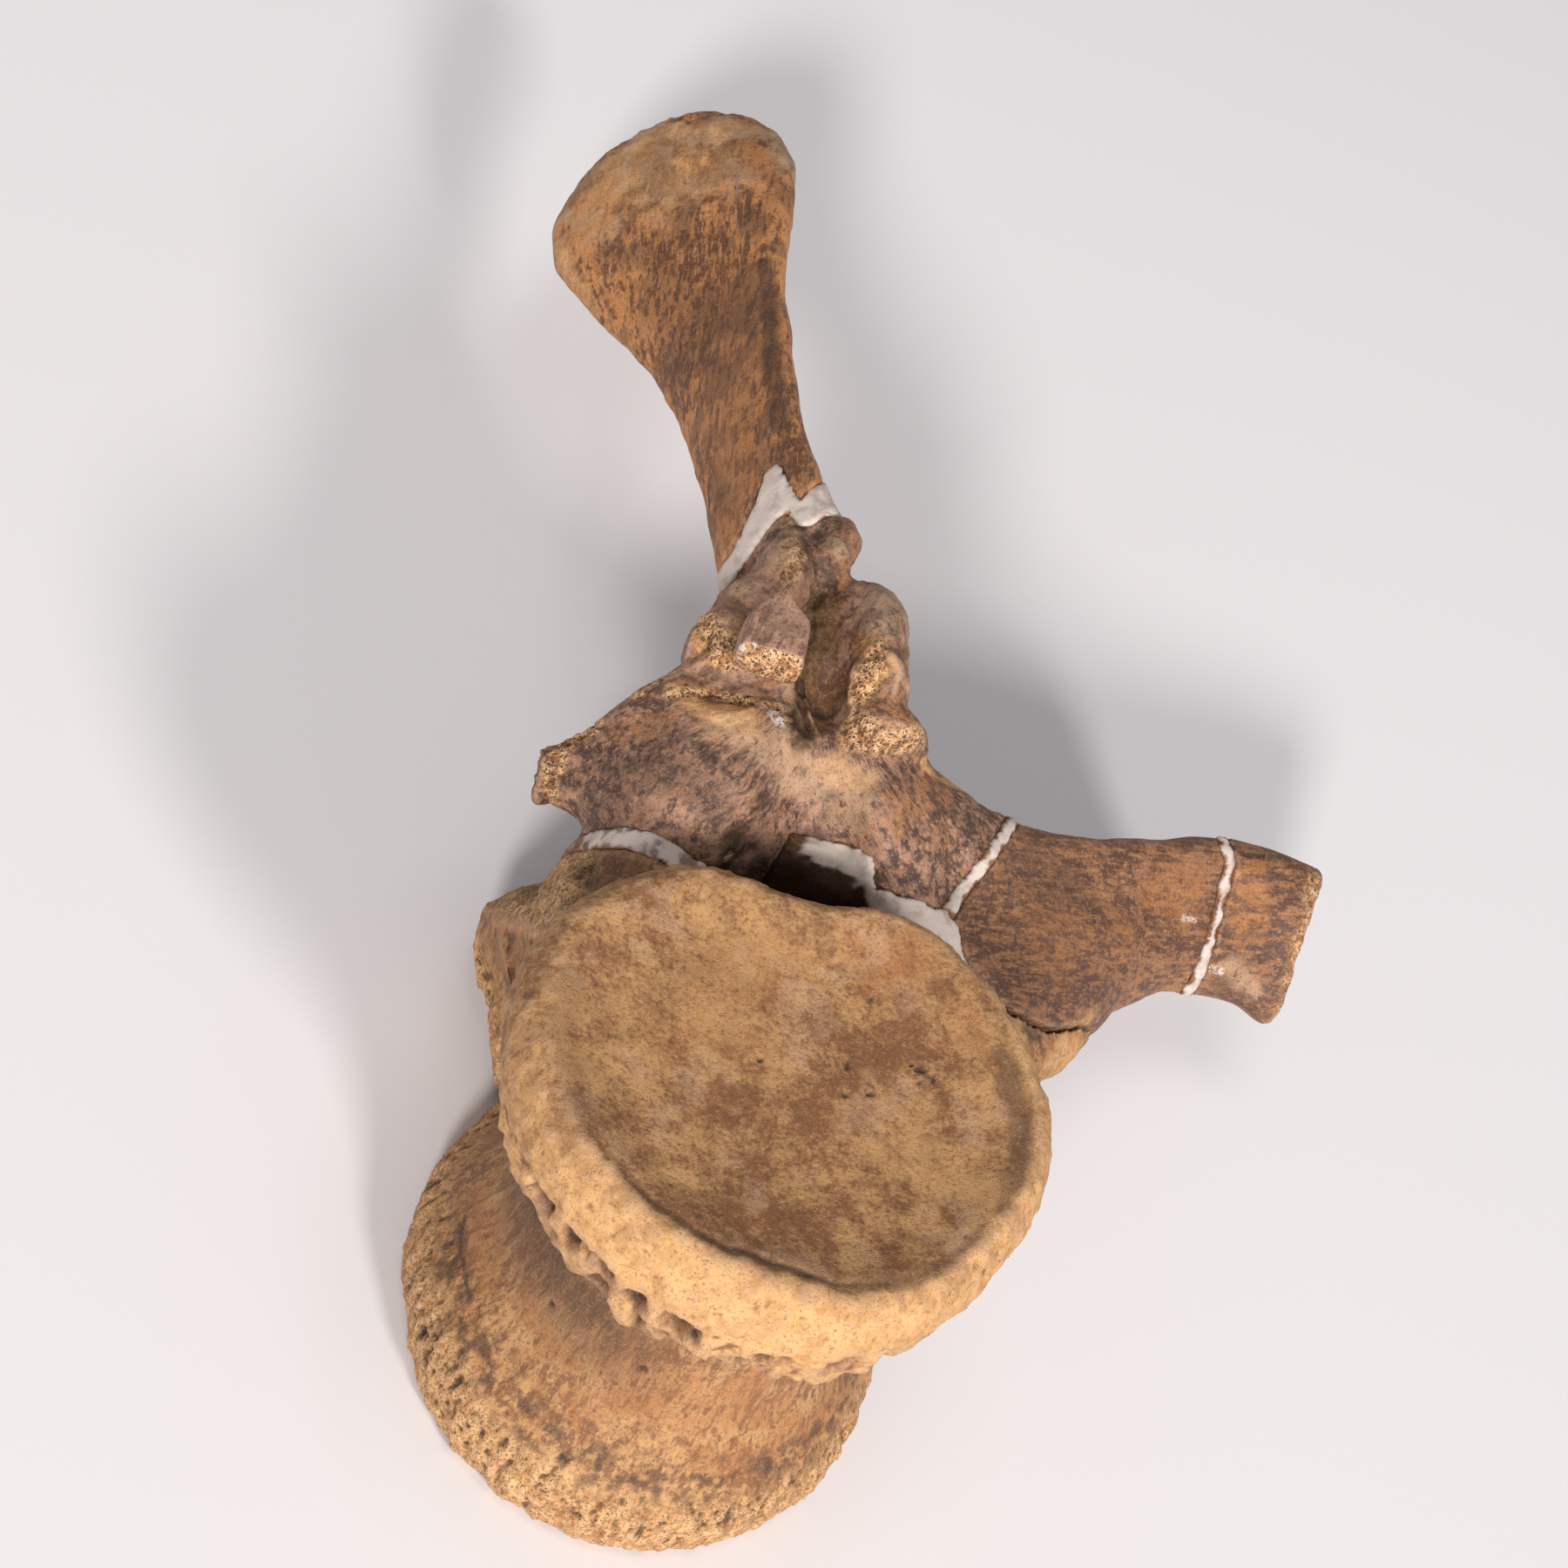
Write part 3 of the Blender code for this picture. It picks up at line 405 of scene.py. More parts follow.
class Skin:
    """The surface of one piece, worked on as arrays of millimetres from REAR_CENTRE."""

    def __init__(self, node, name, grain):
        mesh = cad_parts[node].data.copy()
        bm = bmesh.new()
        bm.from_mesh(mesh)
        bmesh.ops.remove_doubles(bm, verts=bm.verts, dist=MERGE_DISTANCE * MM)
        bm.to_mesh(mesh)
        bm.free()
        self.node = node
        self.obj = bpy.data.objects.new(name, mesh)
        bpy.context.scene.collection.objects.link(self.obj)
        remesh = self.obj.modifiers.new("even skin", "REMESH")
        remesh.mode = "VOXEL"
        remesh.voxel_size = grain
        evaluated = self.obj.evaluated_get(bpy.context.evaluated_depsgraph_get())
        even = bpy.data.meshes.new_from_object(evaluated)
        self.obj.modifiers.clear()
        self.obj.data = even
        self.mesh = even
        self.places = rows(even.vertices, "co", 3, np.float32).astype(float) / MM - REAR_CENTRE
        self.edges = rows(even.edges, "vertices", 2, np.int32)
        self.count = np.bincount(self.edges.ravel(), minlength=len(self.places)).astype(float)
        self.masks = {mask: np.zeros(len(self.places)) for mask in MASKS}
        self.gap = self.distance_to_other_pieces()
        self.seam = (self.gap < SEAM_WIDTH).astype(float)

    def distance_to_other_pieces(self):
        """Millimetres to the nearest other piece, no more than SEAM_REACH."""
        places, faces = [], []
        for name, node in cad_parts.items():
            if name != self.node:
                start = len(places)
                places += [vertex.co for vertex in node.data.vertices]
                faces += [[start + i for i in face.vertices] for face in node.data.polygons]
        others = BVHTree.FromPolygons(places, faces)
        gap = np.full(len(self.places), SEAM_REACH)
        low = np.min(places, 0) / MM - REAR_CENTRE
        high = np.max(places, 0) / MM - REAR_CENTRE
        inside = np.all((self.places > low - SEAM_REACH) & (self.places < high + SEAM_REACH), axis=1)
        for i in np.nonzero(inside)[0]:
            place = Vector((self.places[i] + REAR_CENTRE) * MM)
            distance = others.find_nearest(place, SEAM_REACH * MM)[3]
            if distance is not None:
                gap[i] = distance / MM
        return gap

    def mean(self, values):
        """Average of each vertex's neighbours."""
        a, b = self.edges[:, 0], self.edges[:, 1]
        if values.ndim == 1:
            total = np.bincount(a, values[b], len(values)) + np.bincount(b, values[a], len(values))
            return total / self.count
        return np.stack([self.mean(values[:, axis]) for axis in range(values.shape[1])], axis=1)

    def soften(self, rounds, hold):
        """Smooth the surface; at a hold of 1 the joints stay as they are."""
        weight = (1 - hold * self.seam)[:, None] * 0.5
        for _ in range(rounds):
            self.places += (self.mean(self.places) - self.places) * weight

    def normals(self):
        """The way out of the surface at each vertex, after its places are written into the mesh."""
        self.mesh.vertices.foreach_set("co", ((self.places + REAR_CENTRE) * MM).astype(np.float32).ravel())
        self.mesh.update()
        return rows(self.mesh.vertex_normals, "vector", 3, np.float32).astype(float)

    def swell(self, heights):
        """Move the surface out by heights in mm; joints keep their fit and the foot stays on the table."""
        self.places += self.normals() * (heights * (1 - SEAM_HOLD * self.seam))[:, None]
        self.places[:, 2] = np.maximum(self.places[:, 2], 0.0)

    def facing_front_left(self, low=0.0, high=0.3):
        """0 where the surface faces away from the front left, 1 where it faces that way."""
        return ramp(self.normals() @ TOWARDS_FRONT_LEFT, low, high)

    def hollow(self):
        """Push hollows and rises; the same places move alike on every piece, so the joints stay closed."""
        for width, height, path in HOLLOWS:
            near = hump(distance_to_path(self.places, path), width)
            self.places += np.outer(height * near, TOWARDS_FRONT_LEFT)

    def flatten(self):
        """Plane the broken faces flat."""
        for middle, radius, facing in FACETS:
            facing = np.array(facing) / np.linalg.norm(facing)
            offset = self.places - np.array(middle)
            near = 1 - ramp(np.linalg.norm(offset, axis=1) / radius, 0.7, 1.0)
            near *= self.facing_front_left()
            rise = offset @ facing / (facing @ TOWARDS_FRONT_LEFT)
            self.places -= np.outer(near * rise, TOWARDS_FRONT_LEFT)

    def noise(self, size, octaves, seed):
        """Noise over the surface, the biggest bumps about size millimetres across."""
        return fractal(self.places, size, octaves, seed)

    def stain(self, mask, values):
        """Raise a mask to the values where it is below them."""
        self.masks[mask] = np.maximum(self.masks[mask], values)

    def paint(self, marks):
        """Spread the marks into their masks with ragged edges."""
        ragged = self.noise(5.0, 3, 91)
        for kind, width, strength, path in marks:
            away = distance_to_path(self.places, path) / width + 0.35 * ragged
            self.stain(kind, strength * (1 - ramp(away, 0.45, 1.25)))

    def pits(self, pits):
        """Darken the pits, and return how far they sink the surface."""
        heights = np.zeros(len(self.places))
        for width, depth, place in pits:
            away = distance_to_path(self.places, (place,)) / width
            away = away + 0.25 * smooth_noise(self.places / width, 3)
            heights -= depth * (1 - ramp(away, 0.35, 1.15))
            self.stain("dark", 1 - ramp(away, 0.5, 1.1))
        return heights

    def done(self, grain, material):
        """Write the places, masks and grain into the mesh and hand the piece to the frame."""
        rest = self.places.copy()
        for _ in range(CAVITY_ROUNDS):
            rest += (self.mean(rest) - rest) * 0.5
        rise = np.einsum("ij,ij->i", self.places - rest, self.normals())
        # The cavity mask, hollows below 0 and crests above, is painted as shade with dirt in the hollows
        # and as a highlight on the crests.
        self.masks["cavity"] = np.clip(rise / CAVITY_DEPTH, -1, 1) * (1 - self.seam)
        for mask in MASKS:
            layer = self.mesh.attributes.new(mask, "FLOAT", "POINT")
            layer.data.foreach_set("value", self.masks[mask].astype(np.float32))
        layer = self.mesh.attributes.new("grain", "FLOAT_VECTOR", "POINT")
        layer.data.foreach_set("vector", grain.astype(np.float32).ravel())
        self.mesh.materials.clear()
        self.mesh.materials.append(material)
        self.mesh.shade_smooth()
        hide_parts(self.node)
        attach(self.obj, "root")


class Wire:
    """A shader socket that takes part in sums, so 1 - mask or a * b + c adds its Math nodes."""

    def __init__(self, tree, socket):
        self.tree = tree
        self.socket = socket

    def add(self, kind, settings=None, values=None, output=0):
        """Any other node: its settings first, then the values or links of its sockets."""
        node = self.tree.nodes.new(kind)
        for name, value in (settings or {}).items():
            setattr(node, name, value)
        for name, value in (values or {}).items():
            if isinstance(value, Wire):
                self.tree.links.new(value.socket, node.inputs[name])
            else:
                node.inputs[name].default_value = value
        return Wire(self.tree, node.outputs[output])

    def math(self, operation, first, second, clamp=False):
        """A Math node on two wires or numbers."""
        settings = {"operation": operation, "use_clamp": clamp}
        return self.add("ShaderNodeMath", settings, {0: first, 1: second})

    def __add__(self, other):
        return self.math("ADD", self, other)

    __radd__ = __add__

    def __mul__(self, other):
        return self.math("MULTIPLY", self, other)

    __rmul__ = __mul__

    def __sub__(self, other):
        return self.math("SUBTRACT", self, other)

    def __rsub__(self, other):
        return self.math("SUBTRACT", other, self)

    def clamped(self):
        """This wire kept between 0 and 1."""
        return self.math("ADD", self, 0.0, clamp=True)

    def ramp(self, low, high, start=0.0, end=1.0):
        """start below low and end above high."""
        return self.add("ShaderNodeMapRange", {"interpolation_type": "SMOOTHSTEP"},
                        {"Value": self, "From Min": low, "From Max": high, "To Min": start, "To Max": end})

    def over(self, below, colour):
        """colour laid over below, this wire being the mask."""
        colour = colour if isinstance(colour, Wire) else (*colour, 1.0)
        below = below if isinstance(below, Wire) else (*below, 1.0)
        values = {MIX_FACTOR: self, MIX_BELOW: below, MIX_ABOVE: colour}
        return self.add("ShaderNodeMix", {"data_type": "RGBA"}, values, output=MIX_RESULT)


class Finish:
    """A material under construction, with the coordinates and masks its nodes share."""

    def __init__(self, name):
        self.material = bpy.data.materials.new(name)
        self.material.use_nodes = True
        self.tree = self.material.node_tree
        self.shader = self.tree.nodes["Principled BSDF"]
        self.wire = Wire(self.tree, None)
        self.place = self.wire.add("ShaderNodeTexCoord", output="Object")
        self.grain = self.mask("grain", "Vector")

    def mask(self, name, output="Fac"):
        """What the skin wrote into the mesh under this name."""
        return self.wire.add("ShaderNodeAttribute", {"attribute_name": name}, output=output)

    def noise(self, size, detail, roughness=0.55, shift=0.0):
        """Noise with bumps of about size millimetres."""
        moved = self.wire.add("ShaderNodeMapping", None, {
            "Vector": self.place, "Location": (shift, shift, 0.0)})
        return self.wire.add("ShaderNodeTexNoise", None, {
            "Vector": moved, "Scale": 1 / (size * MM), "Detail": detail, "Roughness": roughness})

    def fibres(self, length, width, detail=3.0, shift=0.0):
        """Noise drawn out along the grain of the bone."""
        moved = self.wire.add("ShaderNodeMapping", None, {
            "Vector": self.grain, "Scale": (1 / length, 1 / width, 1 / width),
            "Location": (shift, shift, 0.0)})
        return self.wire.add("ShaderNodeTexNoise", None, {
            "Vector": moved, "Scale": 1.0, "Detail": detail, "Roughness": 0.6, "Distortion": 0.25})

    def cells(self, size):
        """Distance to the nearest of a scatter of points about size millimetres apart, bent by noise."""
        bent = self.noise(size * 1.5, 2.0)
        moved = self.wire.add("ShaderNodeVectorMath", {"operation": "MULTIPLY_ADD"}, {
            0: bent, 1: (size * MM * 0.7,) * 3, 2: self.place})
        return self.wire.add("ShaderNodeTexVoronoi", {"feature": "F1"}, {
            "Vector": moved, "Scale": 1 / (size * MM)}, output="Distance")

    def set(self, name, value):
        """Give a socket of the shader a wire or a value."""
        if isinstance(value, Wire):
            self.tree.links.new(value.socket, self.shader.inputs[name])
        else:
            self.shader.inputs[name].default_value = value

    def bump(self, height, strength, distance):
        """Roughen the surface finely by a height, as deep as distance."""
        self.set("Normal", self.wire.add("ShaderNodeBump", None, {
            "Height": height, "Strength": strength, "Distance": distance}, output="Normal"))


def layered(colour, layers):
    """Lay colours over the first one, each by its mask."""
    for mask, above in layers:
        colour = mask.over(colour, above)
    return colour


def bone_finish(name, warm, mottle, gloss):
    """Fossil bone in the two browns of that name, streaked along the grain, with stains, pores and wear.

    warm is the share of orange, mottle the size of the broad patches in mm and gloss the least roughness.
    """
    colours, bone = bpy.context.scene.vertebra_colours, bpy.context.scene.vertebra_bone
    light, dark = getattr(colours, name), getattr(colours, name + "_dark")
    finish = Finish(name + " bone")
    worn, spongy, dirt_and_painted_shade, rusty, cavity, fibre = (
        finish.mask(mask) for mask in ("worn", "spongy", "dark", "rust", "cavity", "fibre"))
    broad = finish.noise(mottle, 4.0, 0.6)
    patch = finish.noise(mottle * 0.28, 4.0, 0.65, shift=0.3)
    fleck = finish.noise(2.2, 4.0, 0.65, shift=0.5)
    fine = finish.noise(1.0, 3.0, 0.65, shift=0.7)
    grit = finish.noise(0.45, 2.0, 0.6, shift=0.1)
    speckle = fine * 0.5 + grit * 0.5
    streak = finish.fibres(8.0, 1.6)
    thread = finish.fibres(3.5, 0.6, 2.0, shift=5.0)
    pore, small_pore = finish.cells(0.95), finish.cells(0.55)

    holes = ((1 - pore.ramp(0.24, 0.44)) * (spongy * 0.8 + worn * 0.04)
             + (1 - small_pore.ramp(0.22, 0.4)) * (spongy * 0.7 + fleck.ramp(0.5, 0.65) * 0.35)).clamped()
    blend = broad * 0.34 + patch * 0.3 + fleck * 0.2 + fine * 0.16 + (streak - 0.5) * fibre * 0.55
    warmth = fleck * 0.6 + streak * fibre * 0.4 + (1 - fibre) * 0.2
    rubbed = (patch * 0.5 + fleck * 0.5).ramp(0.42, 0.56).over(colours.worn_dark, colours.worn)
    broken = fleck.ramp(0.42, 0.58).over(colours.rust, colours.spongy)
    finish.set("Base Color", layered(dark, (
        # The two browns, then orange, light and dark streaks.
        (blend.ramp(0.43, 0.565), light),
        (warmth.ramp(0.52, 0.62) * warm, colours.rust),
        (thread.ramp(0.56, 0.68) * fibre * warm * 0.8, colours.tan),
        ((1 - thread.ramp(0.34, 0.44)) * fibre * 0.6, dark),
        # Stains and crusts, rubbed bone, broken spongy bone, and dirt with painted shade from the dark
        # mask, where the masks have them.
        (rusty * (fleck * 0.5 + streak * 0.5).ramp(0.4, 0.56, 0.25, 1.0), colours.rust),
        (finish.mask("pale") * (fleck * 0.6 + thread * 0.4).ramp(0.34, 0.5), colours.tan),
        (finish.mask("grey") * fine.ramp(0.35, 0.5), colours.grey),
        (finish.mask("ochre") * fleck.ramp(0.35, 0.6, 1.0, 0.6), colours.ochre),
        (worn * fine.ramp(0.3, 0.5, 0.75, 1.0), rubbed),
        (spongy * 0.85, broken),
        (finish.mask("yellow") * fleck.ramp(0.4, 0.55, 0.2, 0.8), colours.yellow),
        (dirt_and_painted_shade * (patch * 0.5 + fine * 0.5).ramp(0.4, 0.52, 0.45, 1.0), colours.umber),
        (dirt_and_painted_shade.ramp(0.7, 1.0) * 0.6, colours.pore),
        # Crests lightened as a painted highlight, hollows darkened with dirt and painted shade, then open
        # pores, grit and white specks.
        (cavity.ramp(0.15, 0.9) * 0.4, colours.tan),
        ((1 - cavity.ramp(-0.8, -0.1)) * 0.65, colours.umber),
        (holes, colours.pore),
        (speckle.ramp(0.53, 0.66) * 0.4, colours.tan),
        ((1 - speckle.ramp(0.36, 0.47)) * 0.45, colours.umber),
        (finish.mask("white") * fine.ramp(0.42, 0.52), colours.plaster))))
    roughness = fine.ramp(0.3, 0.7, gloss, gloss + 0.25) + worn * 0.12 + spongy * 0.12
    finish.set("Roughness", roughness.clamped())
    finish.set("Specular IOR Level", 0.45)
    height = (fine * 0.6 + grit * 0.35 + fleck * 0.5 + streak * fibre * 0.7 + thread * fibre * 0.4
              - holes * 1.2)
    finish.bump(height, bone.bump, 0.5 * MM)
    return finish.material


def plaster_finish():
    """Off-white plaster, rubbed smooth, with brown smears, and dark with dirt and painted shadow inside the
    canal.
    """
    colours = bpy.context.scene.vertebra_colours
    finish = Finish("plaster")
    smear = finish.noise(4.0, 4.0, 0.6)
    fine = finish.noise(0.9, 3.0, 0.6, shift=0.4)
    finish.set("Base Color", layered(colours.plaster, (
        (smear.ramp(0.54, 0.7) * 0.4, colours.tan),
        (finish.mask("dark") * smear.ramp(0.48, 0.62), colours.umber),
        ((1 - fine.ramp(0.25, 0.42)) * 0.35, colours.tan),
        (finish.mask("rust"), fine.ramp(0.35, 0.6).over(colours.process_dark, colours.process)),
        # Inside the canal: dirt and painted shadow, dark brown to near black.
        (finish.mask("ochre"), fine.ramp(0.4, 0.6).over(colours.pore, colours.umber)))))
    finish.set("Roughness", 0.75)
    finish.set("Specular IOR Level", 0.3)
    finish.bump(smear * 0.6 + fine * 0.6, 0.5, 0.4 * MM)
    return finish.material


def shape_stump(skin):
    """Sharpen the edge across the left stump, hollow its side below and darken it with painted shade, and
    leave the face above it spongy, painted paler with a painted highlight.
    """
    offset = offset_from_path(skin.places, STUMP_CREASE)
    below, away = offset @ STUMP_DOWN, np.linalg.norm(offset, axis=1)
    x, z = skin.places[:, 0], skin.places[:, 2]
    behind_rim = 1 - ramp(z, 74, 82)
    side = ramp(below, 0.2, 3.0) * (1 - ramp(below, 12, 26)) * (1 - ramp(away, 14, 27))
    side *= skin.facing_front_left(0.1, 0.5) * behind_rim
    edge = hump(away, 1.7) * skin.facing_front_left()
    corner = hump(distance_to_path(skin.places, STUMP_CREASE[:1]), 6.0)
    skin.places += np.outer(STUMP_EDGE_RISE * edge - STUMP_SIDE_DEPTH * side, TOWARDS_FRONT_LEFT)
    skin.places += np.outer(STUMP_EDGE_RISE * corner, STUMP_CORNER_OUT)
    ragged = 1.5 * skin.noise(5.0, 3, 15)
    face = ramp(-below + ragged, 0.0, 1.0) * (1 - ramp(-below, 17, 21)) * ramp(-x + ragged, 40, 42)
    face *= (1 - ramp(away, 18, 24)) * (1 - ramp(z, 78, 82))
    # The broken face is pale spongy bone, and is painted paler and yellower still as a painted highlight
    # for light falling on it from the upper left.
    skin.masks["spongy"] = 0.7 * face
    skin.masks["pale"] = 0.7 * face
    skin.masks["yellow"] = 0.8 * face * ramp(ragged, -1.2, 0.3)
    # Painted shade in the hollow side below the stump's edge.
    skin.masks["dark"] = 0.55 * side * (1 - ramp(below, 6, 18))
    open_pores = 1 - ramp(nearest_cell(skin.places, 2.0, 17)[0], 0.15, 0.4)
    return 0.5 * face * (skin.noise(2.2, 2, 16) - 0.6 * open_pores)


def centrum_skin(skin, relief):
    """Worn rims, ledge round the front face, knobs and pits under it, and furrows over the rear rim."""
    heights = shape_stump(skin)
    x, y, z = skin.places.T
    radius, angle = np.hypot(x, y), np.degrees(np.arctan2(y, x))

    # The wall under the front rim, and the worn band between it and the face.
    rim_angle = ramp(-angle, 35, 70) * ramp(angle, -176, -158)
    wall = np.interp(z, *zip(*RIM_WALL)) * rim_angle
    skin.places[:, :2] += skin.places[:, :2] * (wall / radius)[:, None]
    edge = np.interp(angle, *zip(*FACE_EDGE), period=360)
    wear = np.interp(angle, *zip(*BAND_WEAR))
    ragged = skin.noise(6.0, 3, 5)
    outside = radius - edge + 0.7 * ragged + 1.3 * skin.noise(14.0, 2, 6)
    on_top = ramp(z, 84, 90)
    band = ramp(outside, -0.8, 1.4) * ramp(z + 2.2 * ragged, 83.5, 86.5)
    arc = np.stack([np.radians(angle) * RIM_RADIUS, z, radius], axis=1)
    heights += 0.35 * skin.noise(16.0, 3, 11) + 0.14 * skin.noise(3.0, 3, 12)
    step = ramp(-angle, 45, 70) * ramp(angle, -150, -120)
    heights -= (0.35 + 0.55 * step) * hump(outside + 1.5, 1.1) * on_top * ramp(wear, 0.4, 0.9)
    heights += 0.5 * hump(outside - 2.5, 2.5) * on_top * wear
    heights += band * (0.4 * skin.noise(4.0, 3, 21) + 0.2 * skin.noise(1.8, 2, 22))

    # Knobs and cavities under the front rim.
    knobs, number = nearest_cell(arc * (1, 0.75, 0.3), 6.0, 31)
    under = ramp(z, 69, 73) * (1 - ramp(z + 1.5 * ragged, 84, 87)) * rim_angle
    lump = 1 - ramp(knobs, 0.1, 0.65)
    cavity = (1 - ramp(knobs + 0.1 * ragged, 0.34, 0.6)) * (number < 0.45)
    heights += under * (1.3 * lump * (number > 0.45) - 4.8 * cavity + 1.0 * fractal(arc, 3.5, 3, 33))

    # Furrows, slits and holes over the rear rim, and fine grain round the waist.
    rear = 1 - ramp(z + 2 * ragged, 13, 20)
    furrow = fractal(arc * (1, 0.2, 0.3), 1.9, 3, 41)
    slits, slit = nearest_cell(arc * (1, 0.28, 0.4), 3.0, 43)
    holes, hole = nearest_cell(skin.places, 2.1, 45)
    slits = (1 - ramp(slits, 0.15, 0.45)) * (slit < 0.2)
    holes = (1 - ramp(holes, 0.2, 0.5)) * (hole < 0.35)
    heights += rear * (0.5 * furrow + 0.3 * skin.noise(1.8, 2, 46) - 1.6 * slits - 0.9 * holes)
    waist = ramp(z, 16, 24) * (1 - ramp(z, 66, 74))
    heights += 0.14 * waist * fractal(arc * (1, 0.14, 0.3), 2.0, 3, 47)

    # Where the bone is worn, crusted, stained or mottled, where dirt sits, and painted shade on the waist
    # under the front rim.
    worn = np.maximum(band * wear * (0.85 + 0.15 * ragged), rear * (0.78 + 0.35 * furrow + 0.25 * ragged))
    skin.masks["worn"] = np.clip(worn + 0.65 * under * (number > 0.45), 0, 1)
    nodules = under * lump * (number > 0.72) + 0.4 * band * ramp(ragged, 0.3, 0.8) * wear
    skin.stain("yellow", np.clip(nodules, 0, 1))
    flecks = hump(z - 21, 6) * ramp(skin.noise(2.2, 3, 48), 0.05, 0.4) * ramp(-y, -10, 5)
    inner_slope = hump(outside + 3.5, 3.0) * on_top * ramp(wear, 0.5, 1.0)
    skin.masks["dark"] = np.clip(skin.masks["dark"] + 0.95 * under * cavity + 0.8 * flecks
                                 + 0.8 * rear * (slits + 0.7 * holes) + 0.22 * inner_slope, 0, 1)
    skin.stain("spongy", 0.45 * rear)
    # Painted shade: the waist on the lower left, up to the front rim, is darkened through the dark mask;
    # partly the bone's darker tone, partly the rim's shade.
    shade = ramp(z, 26, 50) * (1 - ramp(z, 70, 76)) * ramp(-x, -5, 25) * ramp(-y, -40, 0)
    skin.stain("dark", 0.8 * shade)
    skin.masks["rust"] = 0.75 * waist * ramp(skin.noise(9.0, 3, 49), -0.3, 0.5)
    face = on_top * (1 - ramp(outside, -0.5, 0.5))
    mottle = skin.noise(7.0, 3, 50)
    skin.stain("pale", 0.4 * face * ramp(mottle, 0.1, 0.6))
    skin.stain("dark", 0.18 * face * ramp(-mottle, 0.1, 0.6))
    skin.masks["fibre"] = (1 - face) * (1 - 0.6 * band) * (1 - 0.5 * under) * (1 - 0.6 * rear)
    heights = heights * (1 - 0.4 * face) + skin.pits(CENTRUM_PITS)
    skin.paint(CENTRUM_MARKS)
    skin.swell(heights * relief)
    along = z + (radius - WAIST_RADIUS) * np.tanh((z - WAIST_HEIGHT) / 15)
    return np.stack([along, np.radians(angle) * WAIST_GRAIN_RADIUS, radius], axis=1)


def arch_skin(skin, relief):
    """Wrinkled arch with a torn wing, spongy broken joints and the trough between them."""
    skin.hollow()
    skin.flatten()
    x, y, z = skin.places.T
    across, up = x - TROUGH_MIDDLE[0], y - TROUGH_MIDDLE[1]
    grain = np.stack([np.hypot(across, up), np.arctan2(up, across) * TROUGH_GRAIN_RADIUS, z], axis=1)
    ragged = skin.noise(7.0, 3, 51)
    heights = 0.3 * ragged + 0.18 * skin.noise(2.4, 3, 53)
    heights += 0.14 * fractal(grain * (0.2, 1, 1), 1.8, 3, 54)
    joints = ramp(y, 90, 96) * ramp(z, 84, 92)
    heights += joints * 0.5 * skin.noise(5.0, 3, 55)
    torn = 1 - ramp(x + ragged, -52, -48)
    heights += torn * 1.6 * (nearest_cell(skin.places, 5.0, 57)[1] - 0.5)
    skin.paint(ARCH_MARKS)
    spongy = skin.masks["spongy"]
    holes, hole = nearest_cell(skin.places, 1.7, 58)
    holes = (1 - ramp(holes, 0.2, 0.5)) * (hole < 0.6)
    heights += spongy * (0.4 * skin.noise(2.4, 2, 59) - 0.9 * holes)
    skin.stain("pale", 0.5 * joints * ramp(ragged, 0.0, 0.6))
    skin.stain("rust", 0.6 * joints * ramp(-ragged, 0.1, 0.6))
    skin.masks["fibre"] = (1 - 0.7 * joints) * (1 - spongy)
    heights += skin.pits(ARCH_PITS)
    skin.swell(heights * relief)
    return grain


def blade_skin(skin, relief, axes, marks, roughness):
    """A plate of bone whose grain runs along the first of its axes, the second being across it."""
    along, across = np.array(axes)
    grain = np.stack([skin.places @ axis for axis in (along, across, np.cross(along, across))], axis=1)
    heights = 0.35 * skin.noise(14.0, 3, 61) + roughness * fractal(grain * (0.18, 1, 1), 2.4, 3, 63)
    skin.masks["fibre"][:] = 1.0
    skin.paint(marks)
    heights += skin.masks["spongy"] * 0.6 * skin.noise(3.0, 2, 65)
    skin.masks["fibre"] *= 1 - skin.masks["spongy"]
    skin.swell(heights * relief)
    return grain


def spine_skin(skin, relief):
    """The tall plate of the spine, blotched with dark, its top pale, rough and rubbed."""
    grain = blade_skin(skin, relief, SPINE_GRAIN, SPINE_MARKS, 0.16)
    y = skin.places[:, 1]
    ragged = skin.noise(9.0, 3, 71)
    top = ramp(y + 10 * ragged, 262, 300)
    cap = ramp(y, 295, 312)
    skin.swell(cap * 0.6 * skin.noise(4.0, 3, 73) * relief)
    blotch = ramp(skin.noise(6.0, 3, 74), -0.35, 0.25)
    dark_blotch = ramp(fractal(skin.places * (1, 0.7, 1), 8.0, 3, 75), 0.05, 0.4)
    skin.stain("dark", 0.5 * dark_blotch * (1 - 0.4 * top))
    skin.stain("pale", top * 0.85 * blotch)
    skin.stain("worn", cap * 0.35 * blotch)
    skin.masks["fibre"] *= 1 - 0.75 * top
    return grain


